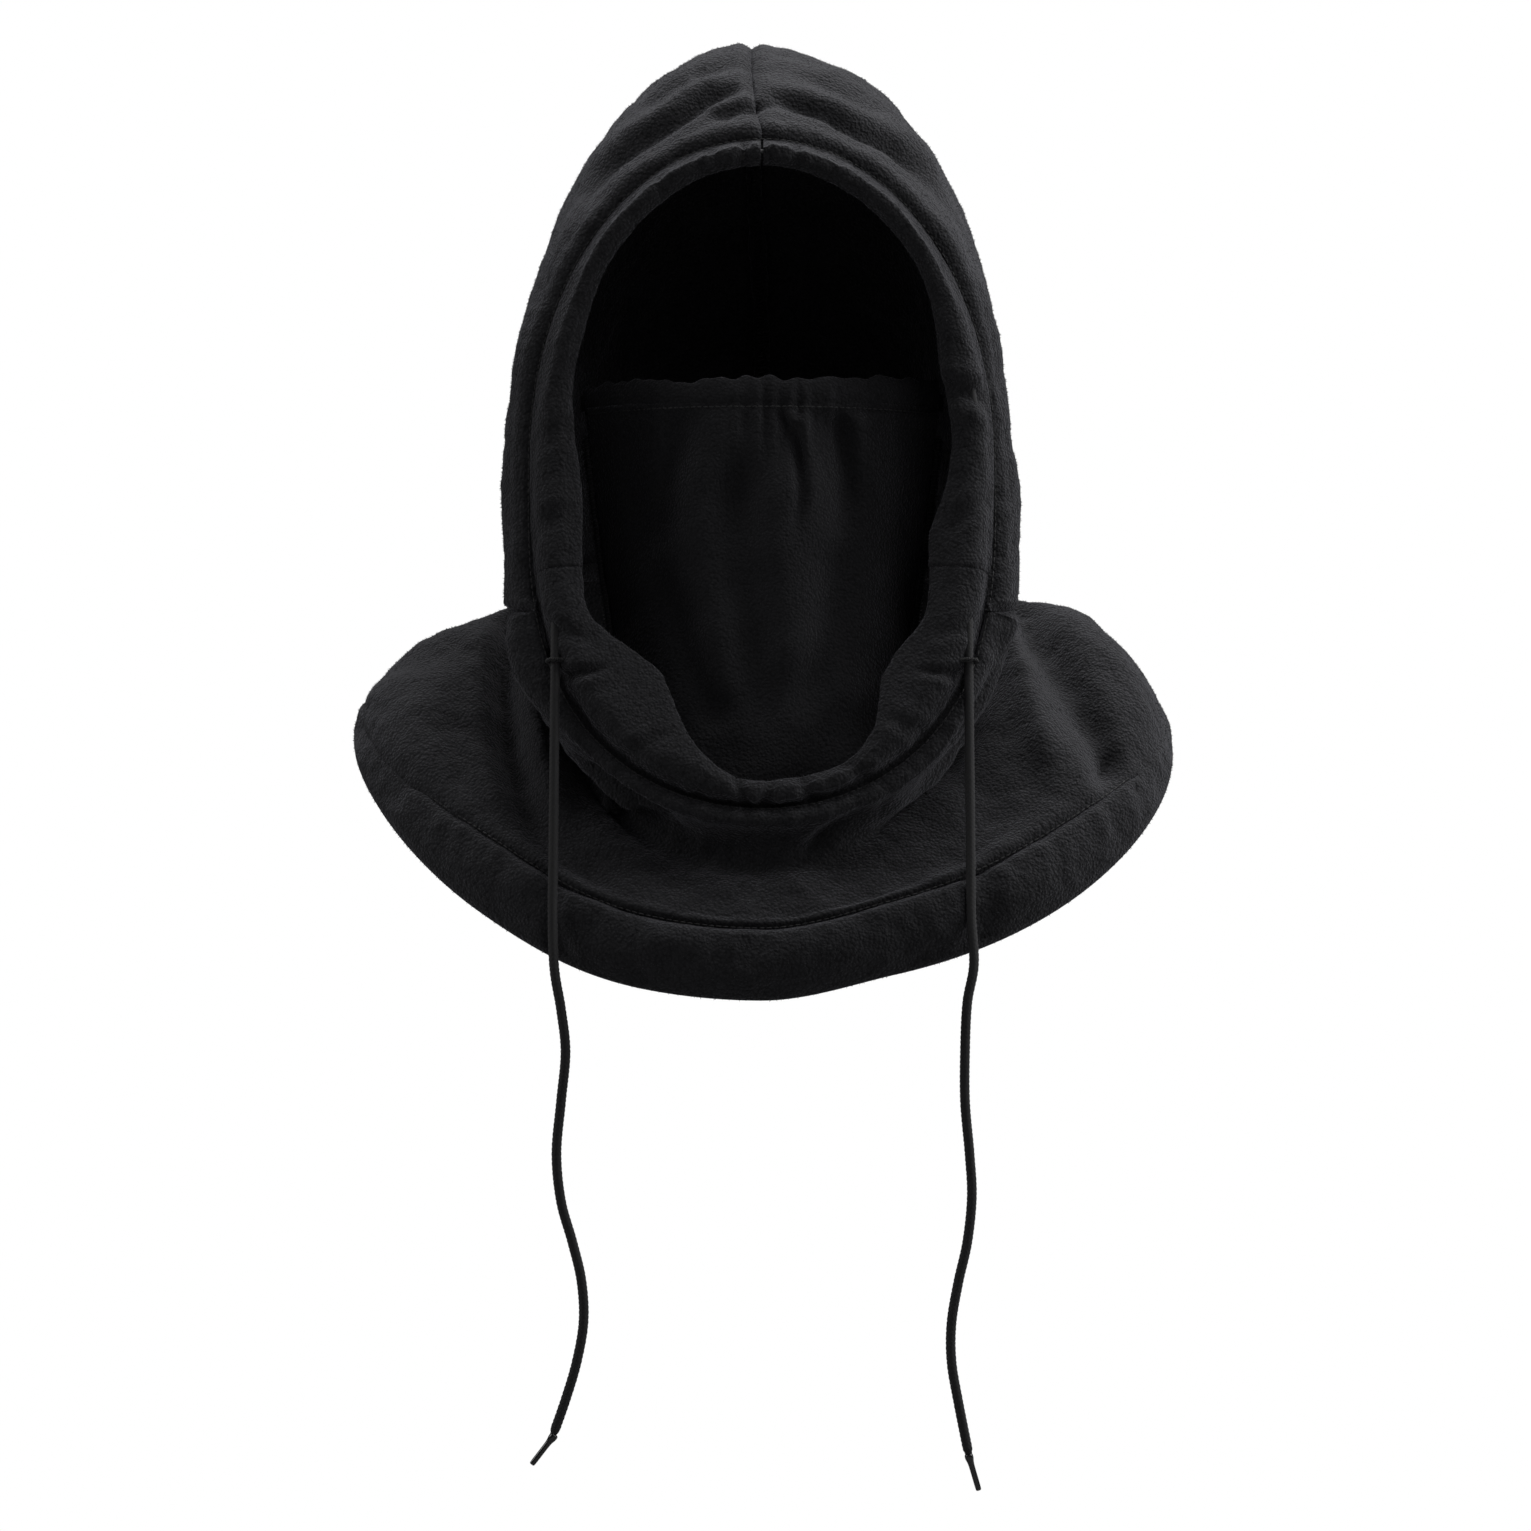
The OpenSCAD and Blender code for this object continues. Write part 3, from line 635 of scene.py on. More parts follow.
# The two shoulders don't hang quite alike
def leanCape(points, s, look):
    x = points[..., 0]
    moved = points.copy()
    slope = np.sin(math.pi * np.clip((s - 7.4) / 2.8, 0, 1))
    sideways = np.exp(-((np.abs(x) - 150) / 38) ** 2) * smoothStep(-np.abs(points[..., 1]), -110, -30)
    moved[..., 2] += np.where(x > 0, look["shoulders"][1], look["shoulders"][0]) * slope * sideways
    front = smoothStep(-points[..., 1], 0, 90) * smoothStep(s, 8.5, 10)
    corner = front * smoothStep(np.abs(x), 50, 140)
    moved[..., 0] += np.where(x > 0, look["corners"][1], look["corners"][0]) * corner
    rise = np.where(x > 0, look["frontRise"][1], look["frontRise"][0])
    moved[..., 2] += rise * front * smoothStep(x, 0, 60)
    return moved


# How far round to the front a place on the cape is, and where the hem's stitching runs there
def frontShare(t):
    return smoothStep(-np.cos(np.radians(t)), 0.35, 0.92)


def hemTop(t, look):
    return stitchRing + look["hemSide"] * (1 - frontShare(t))


def makeCape(name, look):
    fromEdge = np.vstack([neckSeam, edgeChin(faceEdgeRing, seamCorner)])
    toEdge = np.vstack([edgeHalf(stitchRing, 90, 113), edgeChin(stitchRing, 115)])
    toEdge[:, 0] = hemTop(toEdge[:, 1], look)
    s, t, fromNeck, fromHem = clothGrid(fromEdge, toEdge, look["spacing"], 72)
    s = np.hstack([s, s[:, -2:0:-1]])
    t = np.hstack([t, -t[:, -2:0:-1]])
    fromNeck = np.hstack([fromNeck, fromNeck[:, -2:0:-1]])
    fromHem = np.hstack([fromHem, fromHem[:, -2:0:-1]])
    points = drape(s, t)
    normals = drapeNormal(s, t)
    along = np.cumsum(np.ones_like(s), axis=1) * look["spacing"]
    height = foldHeight(points, normals, capeFolds)
    height += look["lumps"] * lumps(points, 38, 11) + 0.18 * lumps(points, 10, 12)
    height = height * smoothStep(fromNeck, 0, 26) * smoothStep(fromHem, 0, 16)
    height -= 1.4 * np.exp(-(fromNeck / 2.4) ** 2)
    height += 0.8 * np.exp(-((fromNeck - 8) / 3.5) ** 2)
    height -= np.exp(-(fromHem / 3.0) ** 2) * (0.3 + 2.8 * smoothStep(-points[..., 1], 50, 115))
    height += seamRipples(along, fromNeck, 14, 0.6, 11, 13) * smoothStep(fromNeck, 0, 3)
    height += seamRipples(along, fromHem, 22, 0.5, 12, 14) * smoothStep(fromHem, 0, 3)
    points = leanCape(points + normals * height[..., None], s, look)
    cape = meshObject(name, points, gridFaces(*s.shape, wrapCols=True), polarFleece)
    faceAlong(cape, normals)
    return cape


hemLook = {
    "thick": 7.2,  # two layers, turned up and sewn
    "puffFront": 4.6,  # how far the roll stands out at the chest
    "puffSide": 0.4,
    "cordsAt": 96,  # the cords press it in on both sides
    "cordDent": 3.0,
}


def makeHem(name, look):
    turns = np.linspace(-180, 180, 2000)
    path = drape(10.5, turns)
    run = runAlong(path)
    cols = int(run[-1] / 2.0)
    t = np.interp(np.linspace(0, run[-1], cols + 1)[:-1], run, turns)
    front = frontShare(t)
    top = hemTop(t, capeLook)
    tall = hemRing - top
    puff = look["puffSide"] + (look["puffFront"] - look["puffSide"]) * front
    outer = np.linspace(0, 1, 17)  # down the outside, round the fold and up the inside
    rows = []
    for u in outer:
        dip = (0.5 + 2.5 * front) * (1 - smoothStep(u, 0, 0.14))
        swell = math.sin(math.pi * min(1, u * 1.04)) ** 0.6
        rows.append((top - 0.06 + tall * u, puff * swell - dip - 0.6 * u))
    for u in (0.15, 0.35, 0.55, 0.75, 0.92):
        rows.append((hemRing - 0.06 + 0.14 * math.sin(math.pi * u), -0.6 - look["thick"] * u))
    for u in np.linspace(0, 1, 12):
        rows.append((hemRing - 0.08 - (tall - 0.02) * u, -look["thick"] + 0.8 * math.sin(math.pi * u)))
    s = np.stack([r[0] + np.zeros(cols) for r in rows])
    lift = np.stack([r[1] + np.zeros(cols) for r in rows])
    t = np.broadcast_to(t, s.shape)
    points = drape(s, t)
    normals = drapeNormal(s, t)
    along = np.linspace(0, run[-1], cols + 1)[:-1] + np.zeros_like(s)
    down = np.clip((s - top) / tall, 0, 1)
    outside = (np.arange(len(rows)) < len(outer))[:, None] * 1.0
    lift = lift + outside * (0.5 * lumps(points, 26, 21) + 0.15 * lumps(points, 9, 22))
    lift = lift + outside * seamRipples(along, down * 30, 19, 0.7, 16, 23) * smoothStep(down, 0, 0.2)
    cords = np.exp(-((np.abs(points[..., 0]) - look["cordsAt"]) / 9) ** 2)
    lift = lift - outside * look["cordDent"] * front * cords
    points = leanCape(points + normals * lift[..., None], s, capeLook)
    hem = meshObject(name, points, gridFaces(*s.shape, wrapRows=True, wrapCols=True), polarFleece)
    faceOut(hem)
    return hem


tunnelLook = {
    "spacing": 1.7,
    "narrowest": 12.5,  # mm, as wide as the drawcord inside needs
    # how wide the turned-in cloth shows, from the stitched groove inwards, at each angle
    "widths": [(-180, 9), (-170, 16), (-160, 25), (-150, 34), (-140, 38), (-130, 33), (-119, 21), (-108, 22),
               (-95, 23), (-85, 20), (-75, 16), (-60, 15), (-45, 12), (-20, 9), (0, 12), (20, 13), (40, 10),
               (55, 14), (70, 20), (85, 18), (95, 22), (102, 28), (112, 26), (120, 25), (130, 31), (140, 31),
               (152, 18), (165, 9), (180, 9)],
    # gathers across it: angle, depth, half width and slant
    "gathers": [(-11, 1.0, 2.6, 0.4), (-5, 2.0, 2.4, -0.3), (2, 1.6, 2.2, 0.5), (9, 1.4, 2.6, 0.2),
                (19, 0.8, 3, 0), (-27, 0.8, 3, -0.4), (76, 2.8, 4.5, -0.3), (98, 1.2, 4, 0.6),
                (-84, 1.0, 5, 0.3), (-100, 1.0, 4, 0.4), (-131, 2.6, 2.4, -0.3), (131, 1.8, 2.4, 0.4),
                (-122, 1.0, 4, -0.6), (121, 1.0, 4, 0.6), (171, 1.6, 3, 0.3), (178, 2.0, 2.6, -0.4),
                (-175, 1.6, 2.4, 0.5), (-168, 1.2, 3, -0.2), (160, 0.9, 3.5, 0.5), (-152, 1.0, 4, -0.5),
                (145, 1.0, 4, 0.4)],
}


def tunnelStations(fromTurn, toTurn, spacing):
    turns = np.linspace(fromTurn, toTurn, 1500)
    path = onRing(tunnelRing, turns)
    run = runAlong(path)
    count = int(run[-1] / spacing)
    t = np.interp(np.linspace(0, run[-1], count), run, turns)
    centre = onRing(tunnelRing, t)
    way = unit(onRing(tunnelRing, t + 0.5) - onRing(tunnelRing, t - 0.5))
    out = centre.copy()
    out[:, 2] -= tunnelRing[6]
    out[:, 1] = 0
    out = unit(out) + np.array([0, 0.2, 0])
    out = unit(out - (out * way).sum(1, keepdims=True) * way)
    forward = np.cross(way, out)
    forward *= np.sign(-forward[:, 1:2])
    return t, centre, out, forward


# The tunnel's cross-section as (outwards, forwards) points, for each visible width; where tuck is 1
# its outer edge runs on behind the cape
def tunnelSection(width, tuck):
    w = np.minimum(width, 20)
    e = 10.5 - width
    back = -1 - 0.75 * np.maximum(0, width - 20)
    zero = np.zeros_like(width)
    return np.stack([
        np.stack([12.8 + 2.7 * tuck, -5.4 + 5.6 * tuck], -1),
        np.stack([9.6 + 0.4 * tuck, -1.4 + 0.3 * tuck], -1),
        np.stack([zero + 6.8, zero + 2.2], -1),
        np.stack([10.5 - 0.42 * w, zero + 4.4], -1),
        np.stack([10.5 - 0.72 * w, zero + 3.7], -1),
        np.stack([(10.5 - 0.7 * w + e) / 2 + 0.4, (3.9 + back) / 2 + 1.1], -1),
        np.stack([e + 0.9, back + 1.2], -1),
        np.stack([e + 0.8, back - 1.6], -1),
        np.stack([e + 0.5 * w, -6.4 + back * 0.35], -1),
        np.stack([8.5 + 2.5 * tuck, zero - 6.4], -1),
    ], 1)


def makeTunnel(name, fromTurn, toTurn, look, shrink=0.0):
    t, centre, out, forward = tunnelStations(fromTurn, toTurn, look["spacing"])
    wrapped = (t + 180) % 360 - 180
    known = np.array(look["widths"], float)
    width = np.maximum(look["narrowest"], np.interp(wrapped, known[:, 0], known[:, 1]))
    kernel = np.hanning(15) / np.hanning(15).sum()
    width = np.convolve(np.pad(width, 7, mode="edge"), kernel, mode="valid")
    corners = tunnelSection(width, smoothStep(np.abs(wrapped), 118, 140))
    parts = []
    for i in range(10):
        a, b, c, d = (corners[:, (i + j) % 10] for j in (-1, 0, 1, 2))
        for u in np.linspace(0, 1, 5)[:-1]:
            parts.append(throughFour(a, b, c, d, u))
    ring = np.stack(parts, 1)
    edge = np.roll(ring, -1, axis=1) - np.roll(ring, 1, axis=1)
    outward = unit(np.stack([edge[..., 1], -edge[..., 0]], -1))
    middle = ring.mean(1, keepdims=True)
    outward *= np.sign(((ring - middle) * outward).sum(-1).mean(1))[:, None, None]
    shown = smoothStep(ring[..., 1], -3, 2.5)  # the back stays put, against the edge it is sewn to
    swell = 0.35 * lumps(centre, 24, 31)[:, None] * shown - shrink
    for turn, depth, half, slant in look["gathers"]:
        gap = (wrapped[:, None] - turn + 180) % 360 - 180
        gap = gap * math.pi / 180 * 130 + slant * ring[..., 0]
        swell = swell - depth * np.exp(-(gap / half) ** 2) * shown
        swell = swell + depth * 0.4 * np.exp(-((np.abs(gap) - half * 2) / half) ** 2) * shown
    ring = ring + outward * swell[..., None]
    points = centre[:, None] + out[:, None] * ring[..., :1] + forward[:, None] * ring[..., 1:]
    rough = 0.14 * lumps(points, 8, 32)
    points = points + unit(points - points.mean(1, keepdims=True)) * rough[..., None]
    tunnel = meshObject(name, points, tubeFaces(*points.shape[:2]), polarFleece)
    faceOut(tunnel)
    return tunnel


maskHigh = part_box("mask_panel")[1]
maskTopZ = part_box("mask_top_casing")[1].z / mm
maskLook = {
    "topHalf": maskHigh.x / mm - 0.5,
    "lowHalf": 60,
    "frontTop": -88,
    "frontLow": -98,
    "bow": 40,
    "wrap": 26,  # how much further back the sides lie below the elastic
    "lowZ": -334,
    "cloth": 2.8,
    # upright pleats along the elastic: place, height and half width
    "pleats": [(-46, 0.8, 3), (-30, 0.7, 3), (-12, 1.0, 2.6), (-2, 1.7, 2.0), (5, 1.2, 1.8), (13, 1.8, 2.0),
               (20, 1.4, 1.8), (31, 1.6, 2.2), (44, 0.9, 3), (57, 0.8, 3)],
}
maskFolds = [
    {"seen": "front", "line": [(5, -166), (9, -180), (15, -194), (18, -214), (14, -240)],
     "depth": 3.4, "width": 3, "roll": 2.4, "rollSide": 1, "openStart": True},
    {"seen": "front", "line": [(30, -168), (35, -190), (38, -212), (35, -246)],
     "depth": 5, "width": 6, "roll": 3, "rollSide": 1, "rollAt": 12, "openStart": True},
    {"seen": "front", "line": [(-32, -172), (-42, -205), (-46, -246)], "depth": 4.5, "width": 8,
     "roll": 2, "openStart": True},
    {"seen": "front", "line": [(-62, -172), (-58, -210), (-50, -260)], "depth": 3, "width": 8},
    {"seen": "front", "line": [(-12, -190), (-9, -235), (-4, -285), (0, -330)],
     "depth": 6, "width": 11, "roll": 2.5, "fade": 0.25},
    {"seen": "front", "line": [(36, -236), (30, -280), (16, -324)], "depth": 5, "width": 9, "roll": 2},
    {"seen": "front", "line": [(-40, -252), (-32, -292), (-16, -326)], "depth": 5, "width": 9, "roll": 2},
]


def maskPoint(x, down, look):
    half = look["topHalf"] + (look["lowHalf"] - look["topHalf"]) * down ** 1.4
    front = look["frontTop"] + (look["frontLow"] - look["frontTop"]) * down - 5 * smoothStep(down, 1.05, 1.14)
    wrap = look["wrap"] * np.sin(math.pi * np.clip((down - 0.09) / 0.91, 0, 1)) ** 0.8
    return np.stack([
        half * x,
        front + (look["bow"] * (1 - 0.6 * down) + wrap) * np.abs(x) ** 2.4,
        maskTopZ + (look["lowZ"] - maskTopZ) * down - 6 * (1 - x * x) * down * down,
    ], -1)


# The elastic draws the cloth into short upright pleats
def pleatHeight(x, look):
    total = 0
    for place, height, half in look["pleats"]:
        total = total + height * (np.exp(-((x - place) / half) ** 2)
                                  - 0.7 * np.exp(-((x - place - half * 1.7) / half) ** 2))
    return total


def makeMaskPanel(name, look):
    x, down = np.meshgrid(np.linspace(-1, 1, 118), np.linspace(0.06, 1.14, 128))
    points = maskPoint(x, down, look)
    normals = np.zeros_like(points)
    normals[..., 1] = -1
    height = foldHeight(points, normals, maskFolds) + 0.5 * lumps(points, 30, 41)
    height = height * smoothStep(down, 0.075, 0.12)
    height += pleatHeight(points[..., 0], look) * (0.5 + 0.5 * smoothStep(down, 0.07, 0.11)) \
        * np.exp(-np.maximum(0, down - 0.1) / 0.075)
    points = points + normals * height[..., None]
    panel = meshObject(name, points, gridFaces(*x.shape), maskFleece)
    faceAlong(panel, normals)
    return panel


def makeMaskTunnel(name, look):
    x = np.linspace(-1, 1, 190)
    path = maskPoint(x, np.zeros_like(x), look)
    around = np.radians(np.arange(0, 360, 12))
    swell = pleatHeight(path[:, 0], look)[:, None]
    half = 3.0 + 0.5 * swell * np.maximum(0, -np.cos(around))
    edgeWave = 0.8 * lumps(path, 11, 43)[:, None]
    rise = 2.5 * smoothStep(path[:, 0], 22, 60)[:, None]
    top = np.maximum(0, np.sin(around))
    up = 7.5 * np.sin(around) + edgeWave * top + rise * top
    points = np.zeros((len(x), len(around), 3))
    points[..., 0] = path[:, :1]
    points[..., 1] = path[:, 1:2] + 1.75 + half * np.cos(around)
    points[..., 2] = maskTopZ - 7.5 + up
    tunnel = meshObject(name, points, tubeFaces(*points.shape[:2]), maskFleece)
    faceOut(tunnel)
    return tunnel


leftRoute = [
    (-93, -89.25, -232), (-93, -93.75, -257), (-93, -98.25, -282), (-93, -102.75, -307),
    (-93, -107.25, -332), (-93, -111.75, -357), (-93, -116.25, -382), (-93, -120.75, -407),
    (-92, -124, -430), (-89, -125, -448), (-87, -125, -467), (-89, -125, -489),
    (-91, -125, -512), (-89, -125, -533), (-84, -125, -551), (-80, -125, -568),
    (-79, -125, -586), (-82, -125, -604), (-87, -125, -621), (-93, -125, -638),
]
rightRoute = [
    (93, -89.25, -232), (93, -93.75, -257), (93, -98.25, -282), (93, -102.75, -307),
    (93, -107.25, -332), (93, -111.75, -357), (93, -116.25, -382), (93, -120.75, -407),
    (94, -124, -428), (91, -125, -445), (90, -125, -466), (90, -125, -489),
    (92, -125, -512), (93, -125, -531), (91, -125, -551), (87, -125, -569),
    (84, -125, -587), (84, -125, -604), (87, -125, -622), (92, -125, -647),
]
cordLook = {
    "diameter": 4.5,
    "flatness": 0.84,  # it lies a little flat
    "ring": 0.62,  # mm between rings
    "strands": 6,  # yarns each way round
    "pitch": 13,  # mm for a yarn to go once round
    "yarnHeight": 0.2,
    "tipLength": 14.7,
    "tipRadius": 1.3,
}


def braidTube(name, line, look, taper=0.0):
    run = runAlong(line)
    count = int(run[-1] / look["ring"])
    even = np.linspace(0, run[-1], count)
    path = np.stack([np.interp(even, run, line[:, i]) for i in range(3)], -1)
    way = unit(np.gradient(path, axis=0))
    side = unit(np.array([1.0, 0, 0]) - way[:, :1] * way)
    if taper == 0:
        side = unit(np.cross(way, [0, 1, 0]))
    other = np.cross(way, side)
    around = np.radians(np.arange(0, 360, 12))
    spin = 2 * math.pi * even[:, None] / look["pitch"]
    over = np.cos(look["strands"] * (around + spin))
    under = np.cos(look["strands"] * (around - spin))
    yarn = np.maximum(over, under) * look["yarnHeight"]
    radius = look["diameter"] / 2 - look["yarnHeight"] + yarn
    radius = radius * (1 - taper * smoothStep(even, run[-1] - 5, run[-1] - 0.5))[:, None]
    points = path[:, None] + side[:, None] * (radius * np.cos(around))[..., None]
    points = points + other[:, None] * (radius * np.sin(around) * look["flatness"])[..., None]
    tube = meshObject(name, points, tubeFaces(*points.shape[:2]), braidedCord)
    faceOut(tube)
    return tube, path * mm, run[-1] * mm


def makeCord(name, route, look):
    return braidTube(name, smoothLine(route, 900), look, taper=0.42)


def makeTip(name, route, way, look):
    way = unit(np.array(way, float))
    side = unit(np.cross(way, [0, 1, 0]))
    other = np.cross(way, side)
    r = look["tipRadius"]
    stations = [(-2.2, 1.2), (-2.0, 1.75), (-1.2, 1.95), (0.2, 1.9), (1.2, 1.55), (2.6, 1.36), (4.5, 1.3),
                (8, r), (12, r), (look["tipLength"] - 0.6, r * 0.98), (look["tipLength"] - 0.1, r * 0.84),
                (look["tipLength"], r * 0.6), (look["tipLength"] - 0.3, r * 0.42)]
    around = np.radians(np.arange(0, 360, 11.25))
    points = []
    for at, radius in stations:
        lap = 0.09 * np.exp(-(((around - 1.0 + math.pi) % (2 * math.pi) - math.pi) / 0.3) ** 2)  # film's edge
        ring = np.outer(np.cos(around) * (radius + lap), side)
        ring = ring + np.outer(np.sin(around) * (radius + lap), other)
        points.append(np.array(route[-1]) + way * at + ring)
    points = np.array(points)
    tip = meshObject(name, points, tubeFaces(*points.shape[:2]), shrunkFilm)
    faceOut(tip)
    smooth = tip.modifiers.new("roundOff", "SUBSURF")
    smooth.levels = 2
    smooth.render_levels = 2
    return applyModifiers(tip)


leftCord, leftPath, leftLength = makeCord("drawcordLeft", leftRoute, cordLook)
rightCord, rightPath, rightLength = makeCord("drawcordRight", rightRoute, cordLook)
leftTip = makeTip("tipLeft", leftRoute, (-8.5, 0, -11), cordLook)
rightTip = makeTip("tipRight", rightRoute, (3.5, 0, -12), cordLook)
print("cords made:", round(leftLength, 4), round(rightLength, 4))

hoodLeft = makeHoodPanel("hoodPanelLeft", -1, hoodLook)
hoodRight = makeHoodPanel("hoodPanelRight", 1, hoodLook)
cape = makeCape("neckCape", capeLook)
hem = makeHem("capeHem", hemLook)
print("hood, cape and hem made")
tunnelLeft = makeTunnel("faceTunnelLeft", -109, -0.3, tunnelLook)
tunnelRight = makeTunnel("faceTunnelRight", 0.3, 109, tunnelLook)
tunnelChin = makeTunnel("faceTunnelChin", 109, 251, tunnelLook, shrink=0.15)
maskPanel = makeMaskPanel("maskPanel", maskLook)
maskTunnel = makeMaskTunnel("maskTunnel", maskLook)

# The rest of the drawcord, inside the tunnel over the brow
hiddenTurns = np.linspace(-101, 101, 700)
hiddenLine = onRing(tunnelRing, hiddenTurns)
hiddenOut = hiddenLine * [1, 0, 1] + [0, 0, 205]
hiddenLine = hiddenLine + 3 * unit(hiddenOut) * (1 - smoothStep(np.abs(hiddenTurns), 80, 101))[:, None]
drawcordLoop = braidTube("drawcordLoop", hiddenLine, dict(cordLook, ring=1.2))[0]
print("tunnel and mask made")


def startTree(name, inputs):
    tree = bpy.data.node_groups.new(name, "GeometryNodeTree")
    tree.interface.new_socket("Geometry", in_out="INPUT", socket_type="NodeSocketGeometry")
    for label, (kind, value) in inputs.items():
        socket = tree.interface.new_socket(label, in_out="INPUT", socket_type=kind)
        socket.default_value = value
    tree.interface.new_socket("Geometry", in_out="OUTPUT", socket_type="NodeSocketGeometry")
    return tree, addNode(tree, "NodeGroupInput").outputs


def endTree(tree, instances, material):
    real = addNode(tree, "GeometryNodeRealizeInstances", None, {0: instances})
    smooth = addNode(tree, "GeometryNodeSetShadeSmooth", None, {0: real.outputs[0]})
    coat = addNode(tree, "GeometryNodeSetMaterial", {"Material": material}, {"Geometry": smooth.outputs[0]})
    addNode(tree, "NodeGroupOutput", None, {0: coat.outputs[0]})


# One sewn stitch after another along a line: a short fat strand of thread, sunk at both ends
def stitchTree(name, material):
    tree, given = startTree(name, {
        "Pitch": ("NodeSocketFloat", 3.2 * mm), "Length": ("NodeSocketFloat", 2.6 * mm),
        "Thread": ("NodeSocketFloat", 0.6 * mm), "Seed": ("NodeSocketInt", 1)})
    spots = addNode(tree, "GeometryNodeCurveToPoints", None,
                    {"Curve": given["Geometry"], "Length": given["Pitch"]}, mode="LENGTH")
    ball = addNode(tree, "GeometryNodeMeshUVSphere", {"Segments": 8, "Rings": 6, "Radius": 0.5})
    size = addNode(tree, "ShaderNodeCombineXYZ", None,
                   {"X": given["Thread"], "Y": given["Thread"], "Z": given["Length"]})
    strand = addNode(tree, "GeometryNodeTransform", None,
                     {"Geometry": ball.outputs["Mesh"], "Scale": size.outputs[0]})
    placed = addNode(tree, "GeometryNodeInstanceOnPoints", None,
                     {"Points": spots.outputs["Points"], "Instance": strand.outputs["Geometry"],
                      "Rotation": spots.outputs["Rotation"]})
    tilt = addNode(tree, "FunctionNodeRandomValue", {0: (-0.07, -0.07, 0), 1: (0.07, 0.07, 0)},
                   {"Seed": given["Seed"]}, data_type="FLOAT_VECTOR")
    turned = addNode(tree, "GeometryNodeRotateInstances", None,
                     {"Instances": placed.outputs[0], "Rotation": tilt.outputs[0]})
    endTree(tree, turned.outputs[0], material)
    return tree


# Overlocking: loops of thread thrown over a cut edge, one behind the other
def loopTree(name, material):
    tree, given = startTree(name, {
        "Pitch": ("NodeSocketFloat", 2.0 * mm), "Wide": ("NodeSocketFloat", 4.2 * mm),
        "Thick": ("NodeSocketFloat", 1.9 * mm), "Thread": ("NodeSocketFloat", 0.25 * mm),
        "Seed": ("NodeSocketInt", 1)})
    spots = addNode(tree, "GeometryNodeCurveToPoints", None,
                    {"Curve": given["Geometry"], "Length": given["Pitch"]}, mode="LENGTH")
    ring = addNode(tree, "GeometryNodeCurvePrimitiveCircle", {"Resolution": 12, "Radius": 1.0})
    size = addNode(tree, "ShaderNodeCombineXYZ", {"Z": 1.0}, {"X": given["Thick"], "Y": given["Wide"]})
    oval = addNode(tree, "GeometryNodeTransform", None,
                   {"Geometry": ring.outputs["Curve"], "Scale": size.outputs[0]})
    profile = addNode(tree, "GeometryNodeCurvePrimitiveCircle", {"Resolution": 4},
                      {"Radius": given["Thread"]})
    loop = addNode(tree, "GeometryNodeCurveToMesh", None,
                   {"Curve": oval.outputs["Geometry"], "Profile Curve": profile.outputs["Curve"]})
    placed = addNode(tree, "GeometryNodeInstanceOnPoints", None,
                     {"Points": spots.outputs["Points"], "Instance": loop.outputs["Mesh"],
                      "Rotation": spots.outputs["Rotation"]})
    tilt = addNode(tree, "FunctionNodeRandomValue", {0: (0.12, 0.1, -0.05), 1: (0.3, 0.25, 0.05)},
                   {"Seed": given["Seed"]}, data_type="FLOAT_VECTOR")
    turned = addNode(tree, "GeometryNodeRotateInstances", None,
                     {"Instances": placed.outputs[0], "Rotation": tilt.outputs[0]})
    endTree(tree, turned.outputs[0], material)
    return tree


# The nap's longest fibres: tiny leaning cones all over the cloth's face
def napTree(name, material):
    tree, given = startTree(name, {
        "Density": ("NodeSocketFloat", 300000.0), "Length": ("NodeSocketFloat", 0.8 * mm),
        "Width": ("NodeSocketFloat", 0.16 * mm), "Seed": ("NodeSocketInt", 1)})
    spots = addNode(tree, "GeometryNodeDistributePointsOnFaces", None,
                    {"Mesh": given["Geometry"], "Density": given["Density"], "Seed": given["Seed"]})
    cone = addNode(tree, "GeometryNodeMeshCone", {"Vertices": 3, "Radius Top": 0.0},
                   {"Radius Bottom": given["Width"], "Depth": given["Length"]}, fill_type="NONE")
    tilt = addNode(tree, "FunctionNodeRandomValue", {0: (-0.8, -0.8, -3.0), 1: (0.8, 0.8, 3.0)},
                   {"Seed": given["Seed"]}, data_type="FLOAT_VECTOR")
    grow = addNode(tree, "FunctionNodeRandomValue", {2: 0.5, 3: 1.3}, {"Seed": given["Seed"]},
                   data_type="FLOAT")
    placed = addNode(tree, "GeometryNodeInstanceOnPoints", None,
                     {"Points": spots.outputs["Points"], "Instance": cone.outputs["Mesh"],
                      "Rotation": spots.outputs["Rotation"], "Scale": grow.outputs[1]})
    turned = addNode(tree, "GeometryNodeRotateInstances", None,
                     {"Instances": placed.outputs[0], "Rotation": tilt.outputs[0]})
    endTree(tree, turned.outputs[0], material)
    return tree


def growOn(name, source, tree, values, keepSource=False):
    modifier = source.modifiers.new("growth", "NODES")
    modifier.node_group = tree
    for item in tree.interface.items_tree:
        if item.item_type == "SOCKET" and item.in_out == "INPUT" and item.name in values:
            modifier[item.identifier] = values[item.name]
    graph = bpy.context.evaluated_depsgraph_get()
    mesh = bpy.data.meshes.new_from_object(source.evaluated_get(graph))
    source.modifiers.clear()
    mesh.name = name
    grown = bpy.data.objects.new(name, mesh)
    bpy.context.scene.collection.objects.link(grown)
    if not keepSource:
        bpy.data.objects.remove(source)
    return grown


